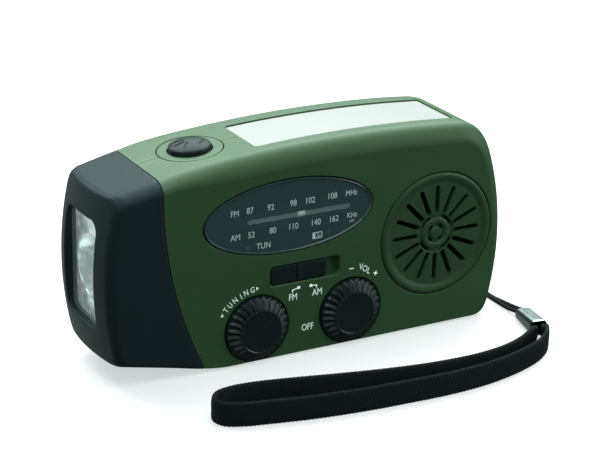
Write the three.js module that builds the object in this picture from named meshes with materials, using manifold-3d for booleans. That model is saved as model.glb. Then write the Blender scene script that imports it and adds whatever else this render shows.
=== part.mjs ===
// Emergency radio with a dynamo crank, a solar panel, a flashlight head and a wrist strap.
// Millimetres, +Z up. +X runs from the flashlight to the loudspeaker and the front face looks along -Y.
// Everything is laid out with the front face at y = 0; the last lines centre the group on its own depth.
import * as THREE from 'three';
import { mergeVertices } from 'three/addons/utils/BufferGeometryUtils.js';
import Module from 'manifold-3d';

const wasm = await Module();
wasm.setup();

// ---- driving dimensions ----------------------------------------------------------------------------------------
const RIGHT_X = 64.6;              // bulge of the loudspeaker's end
const LEFT_X = -65.6;              // pole of the bulged lens end, which the lens opening cuts off
const DEPTH = 36;                  // front face to rear face
const PART_Y = 17.5;               // plane where the two half shells meet
const WALL = 2.2;
const GAP = 0.3;                   // air between two fixed pieces
const TOP = { apexX: 14, z: 63.2, radius: 420, fallX: -40, fall: 0.05 };     // arched top, falling away over the head
const SIDE = { apexZ: 25, radius: 80 };                      // bulged right end
const BAND_Y = 4.6;                // depth of the softened band round both faces
const SEAM = { x: -47, z: 55, radius: 119 };                 // line between the head and the shells
const REAR_BOW = { from: 34, to: 66, depth: 2.4 };           // the rear face bows in towards both ends
const SPEAKER = { x: 40.5, z: 29.7, r: 18.7 };
const TUNING = { x: -18.3, z: 10.8 };
const VOLUME = { x: 12.0, z: 10.8 };
const KNOB_R = 9.7;
const KNOB_OUT = 3.4;              // how far a knob stands out of the front face
const DIAL = { x: -8.5, z: 43.2, a: 26.8, b: 10.9 };
const SLOT = { x: -3.2, z: 25.6, length: 22.4, height: 5.8 };
const SLIDER_LENGTH = 18.0;
const BAND_TRAVEL = 4.0;
const BUTTON = { x: -31, r: 6.05, bezelR: 9.3, travel: 1.4 };
const SOLAR = { x0: -15.3, x1: 49.1, y0: 8, y1: 27 };
const CRANK = { x: -4, z: 31.5, r: 25.6, recessR: 26.1, frontY: 24.4, hingeX: 17, arm: 34, gripR: 5 };
const CRANK_GEAR = { teeth: 36, module: 0.9 };
const IDLER_PINION = { teeth: 12, module: 0.9 };
const IDLER_GEAR = { teeth: 36, module: 0.6 };
const ROTOR_PINION = { teeth: 12, module: 0.6 };
const TUNING_PINION = { teeth: 20, module: 0.7 };
const TURN = Math.PI * 2;
const DEG = Math.PI / 180;

// ---- solids ----------------------------------------------------------------------------------------------------
/** A closed three.js geometry as a manifold solid. */
function solid(geometry) {
  const bare = geometry.clone();
  bare.deleteAttribute('normal');
  bare.deleteAttribute('uv');
  const merged = mergeVertices(bare, 1e-4);
  return new wasm.Manifold(new wasm.Mesh({
    numProp: 3,
    vertProperties: new Float32Array(merged.attributes.position.array),
    triVerts: new Uint32Array(merged.index.array),
  }));
}

/** A manifold solid as a three.js geometry. */
function geometryOf(manifold) {
  const mesh = manifold.getMesh();
  const geometry = new THREE.BufferGeometry();
  geometry.setAttribute('position', new THREE.BufferAttribute(new Float32Array(mesh.vertProperties), 3));
  geometry.setIndex(new THREE.BufferAttribute(new Uint32Array(mesh.triVerts), 1));
  geometry.computeVertexNormals();
  return geometry;
}

const join = (first, ...rest) => rest.reduce((sum, piece) => sum.add(piece), first);
const cut = (first, ...rest) => rest.reduce((left, piece) => left.subtract(piece), first);

/** A shape drawn in X and Z, as a plate from y0 to y1. */
const plateY = (shape, y0, y1, curveSegments = 12) => solid(
  new THREE.ExtrudeGeometry(shape, { depth: y1 - y0, bevelEnabled: false, curveSegments })
    .rotateX(Math.PI / 2).translate(0, y1, 0));

/** A shape drawn in Y and Z, as a plate from x0 to x1. */
const plateX = (shape, x0, x1, curveSegments = 12) => solid(
  new THREE.ExtrudeGeometry(shape, { depth: x1 - x0, bevelEnabled: false, curveSegments })
    .rotateX(Math.PI / 2).rotateZ(Math.PI / 2).translate(x0, 0, 0));

const cylinderY = (r, y0, y1, x = 0, z = 0, sides = 32) => solid(
  new THREE.CylinderGeometry(r, r, y1 - y0, sides).translate(x, (y0 + y1) / 2, z));
const cylinderX = (r, x0, x1, y = 0, z = 0, sides = 32) => solid(
  new THREE.CylinderGeometry(r, r, x1 - x0, sides).rotateZ(Math.PI / 2).translate((x0 + x1) / 2, y, z));
const cylinderZ = (r, z0, z1, x = 0, y = 0, sides = 32) => solid(
  new THREE.CylinderGeometry(r, r, z1 - z0, sides).rotateX(Math.PI / 2).translate(x, y, (z0 + z1) / 2));
const box = (x0, x1, y0, y1, z0, z1) => solid(
  new THREE.BoxGeometry(x1 - x0, y1 - y0, z1 - z0).translate((x0 + x1) / 2, (y0 + y1) / 2, (z0 + z1) / 2));

/** A body of revolution about a line along Y; the profile is [radius, y] pairs that start and end on the axis. */
function latheY(profile, x, z, sides = 28) {
  const points = profile.map(([r, y]) => new THREE.Vector2(r, y));
  const area = points.reduce((sum, p, i) => sum + p.cross(points[(i + 1) % points.length]), 0);
  if (area < 0) points.reverse();
  return solid(new THREE.LatheGeometry(points, sides).translate(x, 0, z));
}

function roundedRect(cx, cy, width, height, r) {
  const [x, y] = [width / 2 - r, height / 2 - r];
  const shape = new THREE.Shape();
  shape.absarc(cx + x, cy + y, r, 0, Math.PI / 2);
  shape.absarc(cx - x, cy + y, r, Math.PI / 2, Math.PI);
  shape.absarc(cx - x, cy - y, r, Math.PI, Math.PI * 1.5);
  shape.absarc(cx + x, cy - y, r, Math.PI * 1.5, TURN);
  return shape;
}

function ellipse(cx, cy, a, b) {
  const shape = new THREE.Shape();
  shape.absellipse(cx, cy, a, b, 0, TURN);
  return shape;
}

// ---- the body's form -------------------------------------------------------------------------------------------
const topZ = (x) => TOP.z - (x - TOP.apexX) ** 2 / (2 * TOP.radius) - TOP.fall * Math.max(0, TOP.fallX - x);
const rearBow = (x) => REAR_BOW.depth * THREE.MathUtils.smoothstep(Math.abs(x - CRANK.x - 8), REAR_BOW.from, REAR_BOW.to);
const sideX = (z) => RIGHT_X - (z - SIDE.apexZ) ** 2 / (2 * SIDE.radius);
const seamX = (z) => (z > SEAM.z ? SEAM.x
  : SEAM.x + SEAM.radius - Math.sqrt(SEAM.radius ** 2 - (SEAM.z - z) ** 2));

/** The outline at mid depth, anticlockwise from the lower left. */
function outlinePoints() {
  const shape = new THREE.Shape();
  const left = LEFT_X - 2;
  shape.moveTo(left, 7.9);
  shape.lineTo(-41, 1.9);
  shape.quadraticCurveTo(-33.5, 0, -26, 0);
  shape.lineTo(54.5, 0);
  shape.bezierCurveTo(58.5, 0, 60.9, 2.6, sideX(7), 7);
  const steps = 7;
  for (let i = 1; i <= steps; i += 1) {
    const z = THREE.MathUtils.lerp(7, 50, i / steps);
    shape.lineTo(sideX(z), z);
  }
  shape.bezierCurveTo(58.6, 56.8, 55.5, topZ(50) - 0.9, 48.5, topZ(48.5));
  for (let i = 1; i <= steps; i += 1) {
    const x = THREE.MathUtils.lerp(48.5, left, i / steps);
    shape.lineTo(x, topZ(x));
  }
  return shape.getPoints(6);
}

/** How far the faces' outline stands inside the mid-depth outline, for an outward normal at x. */
function bandWidth(nx, nz, x) {
  const top = 5.5 - 2.4 * THREE.MathUtils.smoothstep(-x, 20, 55);
  const bottom = 1.0 + 1.2 * THREE.MathUtils.smoothstep(-x, 26, 45);
  const side = 4.2;
  return nz > 0 ? THREE.MathUtils.lerp(side, top, nz) : THREE.MathUtils.lerp(side, bottom, -nz);
}

/** The body's form, shrunk all round by inset: a straight extrusion whose rows are then drawn in towards both faces. */
function bodyForm(inset) {
  const points = outlinePoints();
  const count = points.length;
  const normals = points.map((p, i) => {
    const tangent = points[(i + 1) % count].clone().sub(points[(i + count - 1) % count]).normalize();
    return new THREE.Vector2(tangent.y, -tangent.x);
  });
  const rows = [[0, 1], [1.5, 0.34], [BAND_Y, 0], [DEPTH - BAND_Y, 0], [DEPTH - 1.5, 0.34], [DEPTH, 1]];
  const squeeze = (DEPTH - 2 * inset) / DEPTH;
  const geometry = new THREE.ExtrudeGeometry(new THREE.Shape(points),
    { depth: rows.length - 1, steps: rows.length - 1, bevelEnabled: false });
  const place = new Map(points.map((p, i) => [`${p.x.toFixed(3)} ${p.y.toFixed(3)}`, i]));
  const position = geometry.attributes.position;
  for (let i = 0; i < position.count; i += 1) {
    const k = place.get(`${position.getX(i).toFixed(3)} ${position.getY(i).toFixed(3)}`);
    const [y, share] = rows[Math.round(position.getZ(i))];
    const shift = inset + share * bandWidth(normals[k].x, normals[k].y, points[k].x);
    const bowed = y > PART_Y ? y - rearBow(points[k].x) * (y - PART_Y) / (DEPTH - PART_Y) : y;
    position.setXYZ(i, points[k].x - normals[k].x * shift, inset + bowed * squeeze, points[k].y - normals[k].y * shift);
  }
  const index = geometry.index ?? { array: Uint32Array.from({ length: position.count }, (_, i) => i) };
  const flipped = Array.from(index.array);
  for (let i = 0; i < flipped.length; i += 3) [flipped[i], flipped[i + 1]] = [flipped[i + 1], flipped[i]];
  geometry.setIndex(flipped);
  return solid(geometry);
}

/** Everything on the flashlight's side of the seam, kept `gap` clear of it. */
function headSide(gap) {
  const shape = new THREE.Shape();
  shape.moveTo(-80, -5);
  const steps = 12;
  for (let i = 0; i <= steps; i += 1) {
    const z = THREE.MathUtils.lerp(-5, 75, i / steps);
    shape.lineTo(seamX(z) - gap, z);
  }
  shape.lineTo(-80, 75);
  return plateY(shape, -5, DEPTH + 5);
}

/** The head's bulged end: an ellipsoid whose pole is the body's left limit. */
const endBulge = (inset) => solid(new THREE.SphereGeometry(1, 36, 24)
  .scale(40 - inset, 51 - inset, 64.5 - inset).translate(LEFT_X + 40, PART_Y, 30));

// ---- gears -----------------------------------------------------------------------------------------------------
const pitchR = (gear) => gear.teeth * gear.module / 2;
const involute = (angle) => Math.tan(angle) - angle;

/** An involute spur gear's outline in X and Z, with the middle of a tooth (or of a gap) towards `facing`. */
function gearShape({ teeth, module: m }, cx, cz, facing, gapFirst = false) {
  const pressure = 20 * DEG;
  const backlash = 0.2;
  const rp = teeth * m / 2;
  const rb = rp * Math.cos(pressure);
  const root = rp - 1.2 * m;
  const tip = rp + 0.85 * m;
  const half = (Math.PI * m / 2 - backlash) / (2 * rp);
  const start = Math.max(rb, root + 0.01);
  const flank = [start, tip].map((r) => [r, half + involute(pressure) - involute(Math.acos(rb / r))]);
  const shape = new THREE.Shape();
  for (let i = 0; i < teeth; i += 1) {
    const mid = facing + (i + (gapFirst ? 0.5 : 0)) * TURN / teeth;
    const tooth = [[root, -flank[0][1]], ...flank.map(([r, a]) => [r, -a]),
      ...flank.slice().reverse().map(([r, a]) => [r, a]), [root, flank[0][1]]];
    tooth.forEach(([r, a], j) => {
      const [x, z] = [cx + r * Math.cos(mid + a), cz + r * Math.sin(mid + a)];
      if (i + j === 0) shape.moveTo(x, z);
      else shape.lineTo(x, z);
    });
  }
  return shape;
}

const MESH_CLEARANCE = 0.08;
const idlerAngle = 205 * DEG;
const rotorAngle = 140 * DEG;
const idlerReach = pitchR(CRANK_GEAR) + pitchR(IDLER_PINION) + MESH_CLEARANCE;
const rotorReach = pitchR(IDLER_GEAR) + pitchR(ROTOR_PINION) + MESH_CLEARANCE;
const IDLER = { x: CRANK.x + idlerReach * Math.cos(idlerAngle), z: CRANK.z + idlerReach * Math.sin(idlerAngle) };
const ROTOR = { x: IDLER.x + rotorReach * Math.cos(rotorAngle), z: IDLER.z + rotorReach * Math.sin(rotorAngle) };
const GEAR_Y = { crank: [19.4, 22.0], idler: [16.0, 18.2] };

// ---- materials -------------------------------------------------------------------------------------------------
const finish = (color, roughness, metalness = 0) => ({ color, roughness, metalness });
const FINISH = {
  green: finish(0x3f5a41, 0.55), black: finish(0x24282a, 0.5), knob: finish(0x22282b, 0.55),
  clear: finish(0xdfe6e6, 0.1), silver: finish(0xd5d8d8, 0.2, 0.9), dial: finish(0x1d2224, 0.3),
  solar: finish(0xdde4e0, 0.35), cell: finish(0x1c2433, 0.3), board: finish(0x2b5d3a, 0.6),
  steel: finish(0xa9adb0, 0.35, 1), ferrite: finish(0x3b3b3d, 0.7), copper: finish(0xb06a3c, 0.4, 0.8),
  nylon: finish(0xe6e2d6, 0.5), wrap: finish(0x2c6fa0, 0.5), webbing: finish(0x15181a, 0.85),
  led: finish(0xf2f4f0, 0.2), cone: finish(0x1a1a1c, 0.9),
};

const radio = new THREE.Group();
radio.name = 'emergency_radio';

function add(name, shape, look, parent = radio) {
  const geometry = shape instanceof THREE.BufferGeometry ? shape : geometryOf(shape);
  const mesh = new THREE.Mesh(geometry, new THREE.MeshStandardMaterial(FINISH[look]));
  mesh.name = name;
  parent.add(mesh);
  return mesh;
}

// ---- case ------------------------------------------------------------------------------------------------------
const SCREWS = [[-41, 47.5], [51.5, 52], [50, 5.2], [-31, 5.4]];
const BOARD_Y = [8, 9.6];
const STRAP_HOLES = { z: 8, y: [20, 25.2], r: 1.3 };
const slotShape = (grow) => roundedRect(SLOT.x, SLOT.z, SLOT.length + 2 * grow, SLOT.height + 2 * grow, 1.2);

const body = bodyForm(0);
const hollow = bodyForm(WALL);
const shellSide = headSide(0);
const buttonTilt = Math.atan((BUTTON.x - TOP.apexX) / TOP.radius);
const buttonFrame = new THREE.Matrix4().makeRotationY(buttonTilt).setPosition(BUTTON.x, PART_Y, topZ(BUTTON.x));

/** A body of revolution about the button's own axis, from [radius, height above the top surface] pairs. */
function buttonLathe(profile, sides = 28) {
  const points = profile.map(([r, z]) => new THREE.Vector2(r, z));
  return solid(new THREE.LatheGeometry(points, sides).rotateX(Math.PI / 2).applyMatrix4(buttonFrame));
}
const buttonRod = (r, z0, z1, sides = 28) => buttonLathe([[0, z0], [r, z0], [r, z1], [0, z1]], sides);

/** A slab that follows the arched top, from `low` to `high` above it. */
function archSlab(x0, x1, y0, y1, low, high) {
  const steps = 8;
  const xs = Array.from({ length: steps + 1 }, (_, i) => THREE.MathUtils.lerp(x0, x1, i / steps));
  const shape = new THREE.Shape([
    ...xs.map((x) => new THREE.Vector2(x, topZ(x) + low)),
    ...xs.reverse().map((x) => new THREE.Vector2(x, topZ(x) + high)),
  ]);
  return plateY(shape, y0, y1);
}

const topCuts = join(
  archSlab(SOLAR.x0 - 0.25, SOLAR.x1 + 0.25, SOLAR.y0 - 0.25, SOLAR.y1 + 0.25, -1.5, 2),
  buttonRod(BUTTON.bezelR + 0.25, -1.9, 3),
  buttonRod(3.4, -6, 0, 20),
);

function frontShell() {
  let shell = cut(body, hollow, shellSide, box(-80, 80, PART_Y - GAP / 2, 60, -10, 90));
  const bosses = SCREWS.map(([x, z]) => cylinderY(2.7, 1.5, PART_Y - GAP / 2, x, z, 10));
  shell = join(shell, ...bosses, plateY(slotShape(1.4), 1.2, 3));
  shell = cut(shell, topCuts,
    cylinderY(SPEAKER.r + 0.25, -1, 5, SPEAKER.x, SPEAKER.z, 48),
    plateY(ellipse(DIAL.x, DIAL.z, DIAL.a, DIAL.b), -1, 5, 18),
    plateY(slotShape(0), -1, 1.7),
    box(SLOT.x - 7, SLOT.x + 7, 1, 5, SLOT.z - 1.4, SLOT.z + 1.4),
    ...[TUNING, VOLUME].map(({ x, z }) => join(cylinderY(KNOB_R + 0.4, -1, 1.2, x, z, 28), cylinderY(3.4, 0, 5, x, z, 14))),
    ...SCREWS.map(([x, z]) => cylinderY(1.3, 4, 20, x, z, 8)));
  return shell;
}

const crankAt = (r, y0, y1, sides = 48) => cylinderY(r, y0, y1, CRANK.x, CRANK.z, sides);

function rearShell() {
  let shell = cut(body, hollow, shellSide, box(-80, 80, -20, PART_Y + GAP / 2, -10, 90));
  const bosses = SCREWS.map(([x, z]) => cylinderY(3.7, PART_Y + GAP / 2, DEPTH - 2, x, z, 10));
  shell = join(shell, ...bosses, crankAt(CRANK.recessR + 1.5, 22.5, DEPTH - 2));
  return cut(shell, topCuts,
    crankAt(CRANK.recessR, 24.1, DEPTH + 2, 48), crankAt(4.4, 20, 26, 16),
    cylinderY(1.8, 20, 26, IDLER.x, IDLER.z, 10),
    ...SCREWS.map(([x, z]) => join(cylinderY(2.9, 31, 40, x, z, 12), cylinderY(1.4, 10, 40, x, z, 8))),
    ...STRAP_HOLES.y.map((y) => cylinderX(STRAP_HOLES.r, 55, 70, y, STRAP_HOLES.z, 8)));
}

add('front_shell', frontShell(), 'green');
add('rear_shell', rearShell(), 'green');

SCREWS.forEach(([x, z], i) => add(`case_screw_${i + 1}`,
  latheY([[0, 9], [1.05, 9.6], [1.05, 31.2], [2.5, 31.2], [2.5, 32.4], [1.6, 32.9], [0, 32.9]], x, z, 10), 'steel'));

// the loudspeaker and its grille
function speakerGrille() {
  let disc = latheY([[0, 1.9], [SPEAKER.r, 1.9], [SPEAKER.r, 0.1], [SPEAKER.r - 0.9, -0.45], [SPEAKER.r - 2.3, 0.25],
    [0, 0.25]], SPEAKER.x, SPEAKER.z, 48);
  const slots = 16;
  for (let i = 0; i < slots; i += 1) {
    const angle = (i / slots) * TURN;
    const shape = roundedRect((0.34 + 0.78) / 2 * SPEAKER.r, 0, 0.44 * SPEAKER.r, 1.5, 0.74);
    const slot = solid(new THREE.ExtrudeGeometry(shape, { depth: 6, bevelEnabled: false, curveSegments: 2 })
      .rotateZ(angle).rotateX(Math.PI / 2).translate(SPEAKER.x, 4, SPEAKER.z));
    disc = disc.subtract(slot);
  }
  for (let i = 0; i < 4; i += 1) {
    const mid = (i + 0.5) * TURN / 4;
    const arc = new THREE.Shape();
    arc.absarc(0, 0, 0.31 * SPEAKER.r, mid - 0.42, mid + 0.42, false);
    arc.absarc(0, 0, 0.25 * SPEAKER.r, mid + 0.42, mid - 0.42, true);
    disc = disc.subtract(solid(new THREE.ExtrudeGeometry(arc, { depth: 6, bevelEnabled: false, curveSegments: 3 })
      .rotateX(Math.PI / 2).translate(SPEAKER.x, 4, SPEAKER.z)));
  }
  return disc;
}
add('speaker_grille', speakerGrille(), 'green');
add('speaker_frame', cut(
  latheY([[0, 2.6], [17.8, 2.6], [17.8, 4], [10, 9], [0, 9]], SPEAKER.x, SPEAKER.z, 32),
  latheY([[0, 2], [16.4, 2], [16.4, 3.6], [8.6, 8.2], [0, 8.2]], SPEAKER.x, SPEAKER.z, 32),
  cylinderY(5.5, 5, 12, SPEAKER.x, SPEAKER.z, 20)), 'steel');
add('speaker_cone', cut(
  latheY([[0, 3], [15.8, 3], [15.8, 3.3], [5, 7.4], [0, 7.4]], SPEAKER.x, SPEAKER.z, 32),
  latheY([[0, 2], [14.9, 2], [14.9, 3.1], [4.4, 6.7], [0, 6.7]], SPEAKER.x, SPEAKER.z, 32)), 'cone');
add('speaker_magnet', latheY([[0, 9.4], [9.4, 9.4], [9.4, 13.6], [8.9, 14.1], [0, 14.1]], SPEAKER.x, SPEAKER.z, 28),
  'steel');

// the dial, its pointer, and what the tuning knob drives
add('dial_window', cut(
  join(plateY(ellipse(DIAL.x, DIAL.z, DIAL.a - GAP, DIAL.b - GAP), -0.4, 1.6, 18)),
  plateY(ellipse(DIAL.x, DIAL.z, DIAL.a - 1.3, DIAL.b - 1.3), -1, 0.1, 18),
  plateY(roundedRect(SLOT.x - 2.1, DIAL.z + 0.1, 33.4, 1.8, 0.88), -1, 3, 4)), 'dial');

const rackPitchZ = TUNING.z + pitchR(TUNING_PINION) + MESH_CLEARANCE;
const POINTER = { x: -5.1, travel: pitchR(TUNING_PINION) * 135 * DEG };

/** A straight rack, teeth down, with the middle of a gap at gapX. */
function rackShape(gapX, x0, x1, topEdge) {
  const m = TUNING_PINION.module;
  const pitch = Math.PI * m;
  const slope = Math.tan(20 * DEG);
  const half = pitch / 4 - 0.1;
  const shape = new THREE.Shape();
  shape.moveTo(x0, topEdge);
  shape.lineTo(x0, rackPitchZ + 1.2 * m);
  const first = Math.ceil((x0 - gapX) / pitch + 0.1);
  const last = Math.floor((x1 - gapX) / pitch - 1.1);
  for (let i = first; i <= last; i += 1) {
    const mid = gapX + (i + 0.5) * pitch;
    shape.lineTo(mid - half - slope * 1.2 * m, rackPitchZ + 1.2 * m);
    shape.lineTo(mid - half + slope * 0.85 * m, rackPitchZ - 0.85 * m);
    shape.lineTo(mid + half - slope * 0.85 * m, rackPitchZ - 0.85 * m);
    shape.lineTo(mid + half + slope * 1.2 * m, rackPitchZ + 1.2 * m);
  }
  shape.lineTo(x1, rackPitchZ + 1.2 * m);
  shape.lineTo(x1, topEdge);
  return shape;
}
add('pointer_carriage', join(
  plateY(rackShape(TUNING.x, TUNING.x - POINTER.travel - 2.4, TUNING.x + POINTER.travel + 2.4, rackPitchZ + 3), 5.8, 6.8),
  box(POINTER.x - 1.6, POINTER.x + 1.6, 5.8, 6.8, rackPitchZ + 2, DIAL.z + 1.6),
  box(POINTER.x - 1.2, POINTER.x + 1.2, 2.0, 6.8, DIAL.z - 1.2, DIAL.z + 1.4)), 'nylon');

const DISH = 0.35;
const knobProfile = (shaftEnd) => [[0, shaftEnd], [3, shaftEnd], [3, 0.9], [KNOB_R, 0.9], [KNOB_R, -0.2],
  [KNOB_R - 0.9, -1.1], [KNOB_R * 0.7, -KNOB_OUT], [KNOB_R * 0.6, -KNOB_OUT + 0.1], [0, -KNOB_OUT + DISH]];
add('tuning_knob', latheY(knobProfile(12), TUNING.x, TUNING.z), 'knob');
add('volume_knob', latheY(knobProfile(7), VOLUME.x, VOLUME.z), 'knob');
add('tuning_pinion', cut(plateY(gearShape(TUNING_PINION, TUNING.x, TUNING.z, Math.PI / 2), 5.7, 7.1),
  cylinderY(3.15, 5, 8, TUNING.x, TUNING.z, 24)), 'nylon');
add('tuning_capacitor', cut(
  box(TUNING.x - 9, TUNING.x + 9, BOARD_Y[1] + GAP, 15.2, 3, 19.6),
  cylinderY(3.2, 9, 12.4, TUNING.x, TUNING.z, 20)), 'nylon');
add('volume_pot', cut(cylinderY(6, 3, BOARD_Y[0] - GAP, VOLUME.x, VOLUME.z, 28),
  cylinderY(3.2, 2, 7.4, VOLUME.x, VOLUME.z, 20)), 'steel');

// the band switch
const sliderX0 = SLOT.x - SLOT.length / 2 + 0.2;
const sliderMid = sliderX0 + SLIDER_LENGTH / 2;
add('band_slider', cut(join(
  plateY(roundedRect(sliderMid, SLOT.z, SLIDER_LENGTH, SLOT.height - 0.4, 0.9), 0.2, 1.4, 3),
  box(SLOT.x - 3.6, SLOT.x - 0.4, 1, 3.4, SLOT.z - 1.1, SLOT.z + 1.1)),
box(sliderMid - 0.3, sliderMid + 0.3, -1, 0.6, SLOT.z - 4, SLOT.z + 4)), 'black');
add('band_switch', cut(box(SLOT.x - 10, SLOT.x + 10, 3.3, 5.4, SLOT.z - 3, SLOT.z + 3),
  box(SLOT.x - 4.2, SLOT.x + 4.6, 3, 3.9, SLOT.z - 1.5, SLOT.z + 1.5)), 'steel');

// the board carries the controls
const boardShape = new THREE.Shape([[-29.6, 4.4], [20.6, 4.4], [20.6, 50], [-24.4, 50], [-24.4, 21.4], [-29.6, 21.4]]
  .map(([x, z]) => new THREE.Vector2(x, z)));
add('main_board', cut(plateY(boardShape, ...BOARD_Y), cylinderY(3.6, 7, 11, TUNING.x, TUNING.z, 20),
  ...SCREWS.map(([x, z]) => cylinderY(3.1, 7, 11, x, z, 12))), 'board');

// the aerial under the solar panel
const ROD = { y: 14.8, z: 54.8 };
add('ferrite_rod', cylinderX(3.6, -17, 33, ROD.y, ROD.z, 20), 'ferrite');
add('antenna_coil', cut(cylinderX(4.7, -8, 12, ROD.y, ROD.z, 24), cylinderX(3.9, -10, 14, ROD.y, ROD.z, 24)), 'copper');

// three cells side by side in one wrap
const CELL = { r: 5.1, x0: 25, x1: 54.5, y: 26, z0: 15 };
const packShape = new THREE.Shape();
for (let i = 0; i < 3; i += 1) packShape.absarc(CELL.y, CELL.z0 + i * 2 * CELL.r, CELL.r + 0.15, -74 * DEG, 74 * DEG);
for (let i = 2; i >= 0; i -= 1) packShape.absarc(CELL.y, CELL.z0 + i * 2 * CELL.r, CELL.r + 0.15, 106 * DEG, 254 * DEG);
add('battery_pack', plateX(packShape, CELL.x0, CELL.x1, 6), 'wrap');

// ---- solar panel -----------------------------------------------------------------------------------------------
add('solar_cell', archSlab(SOLAR.x0 + 1, SOLAR.x1 - 1, SOLAR.y0 + 1, SOLAR.y1 - 1, -1.35, -1.1), 'cell');
add('solar_cover', archSlab(SOLAR.x0, SOLAR.x1, SOLAR.y0, SOLAR.y1, -0.95, -0.4), 'solar');

// ---- light button ----------------------------------------------------------------------------------------------
add('button_bezel', cut(buttonRod(BUTTON.bezelR, -1.75, -0.02),
  buttonRod(BUTTON.r + 0.3, -3, 2)), 'green');
add('light_button', buttonLathe([[0, -3.6], [1.3, -3.6], [1.3, -0.4], [BUTTON.r, -0.4], [BUTTON.r, 1.2],
  [BUTTON.r - 0.5, 1.75], [BUTTON.r - 2.6, 2.35], [0, 2.55]]), 'knob');
add('push_switch', solid(new THREE.BoxGeometry(8, 8, 5).translate(0, 0, -9).applyMatrix4(buttonFrame)), 'steel');

class Helix extends THREE.Curve {
  getPoint(t, target = new THREE.Vector3()) {
    const angle = t * TURN * 4;
    return target.set(2.1 * Math.cos(angle), 2.1 * Math.sin(angle), THREE.MathUtils.lerp(-6.1, -0.95, t));
  }
}
const wire = new THREE.Shape();
wire.absarc(0, 0, 0.22, 0, TURN);
add('button_spring', solid(new THREE.ExtrudeGeometry(wire,
  { extrudePath: new Helix(), steps: 40, bevelEnabled: false, curveSegments: 2 }).applyMatrix4(buttonFrame)), 'steel');

// ---- flashlight head -------------------------------------------------------------------------------------------
const LENS = { y: 17.5, z: 31.6, width: 19.4, height: 31 };
const opening = (grow, r) => roundedRect(LENS.y, LENS.z, LENS.width + 2 * grow, LENS.height + 2 * grow, r);
add('flashlight_head', cut(
  body.intersect(headSide(GAP)).intersect(endBulge(0)),
  hollow.intersect(endBulge(2.0)),
  plateX(opening(0, 3.4), -75, -50, 5)), 'black');
const plateX0 = LEFT_X + 4.7;
add('lens', plateX(opening(-GAP, 3.1), plateX0 - 1.6, plateX0 - GAP, 5), 'clear');
const REFLECTOR = { r: 9.2, z: LENS.z - 0.6 };
const reflectorCup = (grow) => {
  const points = [[0, 0], [REFLECTOR.r, 0], [8.4, 4], [7.0, 8.2], [0, 8.2]]
    .map(([r, x]) => new THREE.Vector2(r ? r + grow : 0, x));
  return solid(new THREE.LatheGeometry(points, 28).rotateZ(-Math.PI / 2).translate(plateX0, LENS.y, REFLECTOR.z));
};
add('reflector', cut(join(plateX(opening(1.1, 4), plateX0, plateX0 + 1.1, 5), reflectorCup(0.7)),
  reflectorCup(0), cylinderX(REFLECTOR.r, plateX0 - 2, plateX0 + 0.05, LENS.y, REFLECTOR.z, 28),
  cylinderX(7, plateX0 + 8, plateX0 + 10, LENS.y, REFLECTOR.z, 28)), 'silver');
const ledBoardX = plateX0 + 8.6;
add('led_board', cylinderX(8.2, ledBoardX, ledBoardX + 1.4, LENS.y, REFLECTOR.z, 28), 'board');
for (let i = 0; i < 3; i += 1) {
  const angle = (90 + i * 120) * DEG;
  const points = [[0, 0], [2.4, 0], [2.4, 4], [1.7, 5.7], [0, 6.4]].map(([r, y]) => new THREE.Vector2(r, y));
  add(`led_${i + 1}`, solid(new THREE.LatheGeometry(points, 14).rotateZ(Math.PI / 2)
    .translate(ledBoardX - GAP, LENS.y + 3.4 * Math.cos(angle), REFLECTOR.z + 3.4 * Math.sin(angle))), 'led');
}

// ---- dynamo and crank ------------------------------------------------------------------------------------------
add('dynamo_motor', cut(cylinderY(9, 4, 15.4, ROTOR.x, ROTOR.z, 32), cylinderY(1.5, 10, 16, ROTOR.x, ROTOR.z, 14)),
  'steel');
add('dynamo_pinion', join(plateY(gearShape(ROTOR_PINION, ROTOR.x, ROTOR.z, rotorAngle + Math.PI, true), ...GEAR_Y.idler),
  cylinderY(1.1, 11, GEAR_Y.idler[1] + 0.6, ROTOR.x, ROTOR.z, 14)), 'steel');
add('idler_axle', cylinderY(1.5, 15.6, 23.9, IDLER.x, IDLER.z, 12), 'steel');
add('idler_gear', cut(join(
  plateY(gearShape(IDLER_GEAR, IDLER.x, IDLER.z, rotorAngle), ...GEAR_Y.idler),
  cylinderY(3.6, 17, 20, IDLER.x, IDLER.z, 24),
  plateY(gearShape(IDLER_PINION, IDLER.x, IDLER.z, idlerAngle + Math.PI, true), 18.9, GEAR_Y.crank[1] + 0.2)),
cylinderY(1.6, 10, 30, IDLER.x, IDLER.z, 14)), 'nylon');
add('crank_gear', cut(plateY(gearShape(CRANK_GEAR, CRANK.x, CRANK.z, idlerAngle), ...GEAR_Y.crank),
  crankAt(2.3, 10, 30, 20)), 'nylon');

const lidY = DEPTH - 3.4;                   // underside of the crank disc's face plate
const hinge = { x: CRANK.x + CRANK.hingeX, y: DEPTH + 0.4 };
const gripX = hinge.x - CRANK.arm;
const ARM = { width: 9, y0: DEPTH - 2.6, y1: DEPTH - 0.05 };
const GRIP = { y0: 26.6, y1: ARM.y0 - 0.3 };
const stadium = (x0, x1, halfWidth) => roundedRect((x0 + x1) / 2, CRANK.z, x1 - x0, 2 * halfWidth, halfWidth - 0.01);
const pocket = (grow) => stadium(gripX - 7.1 - grow, gripX + CRANK.gripR + 0.7 + grow, CRANK.gripR + 0.7 + grow);

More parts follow.
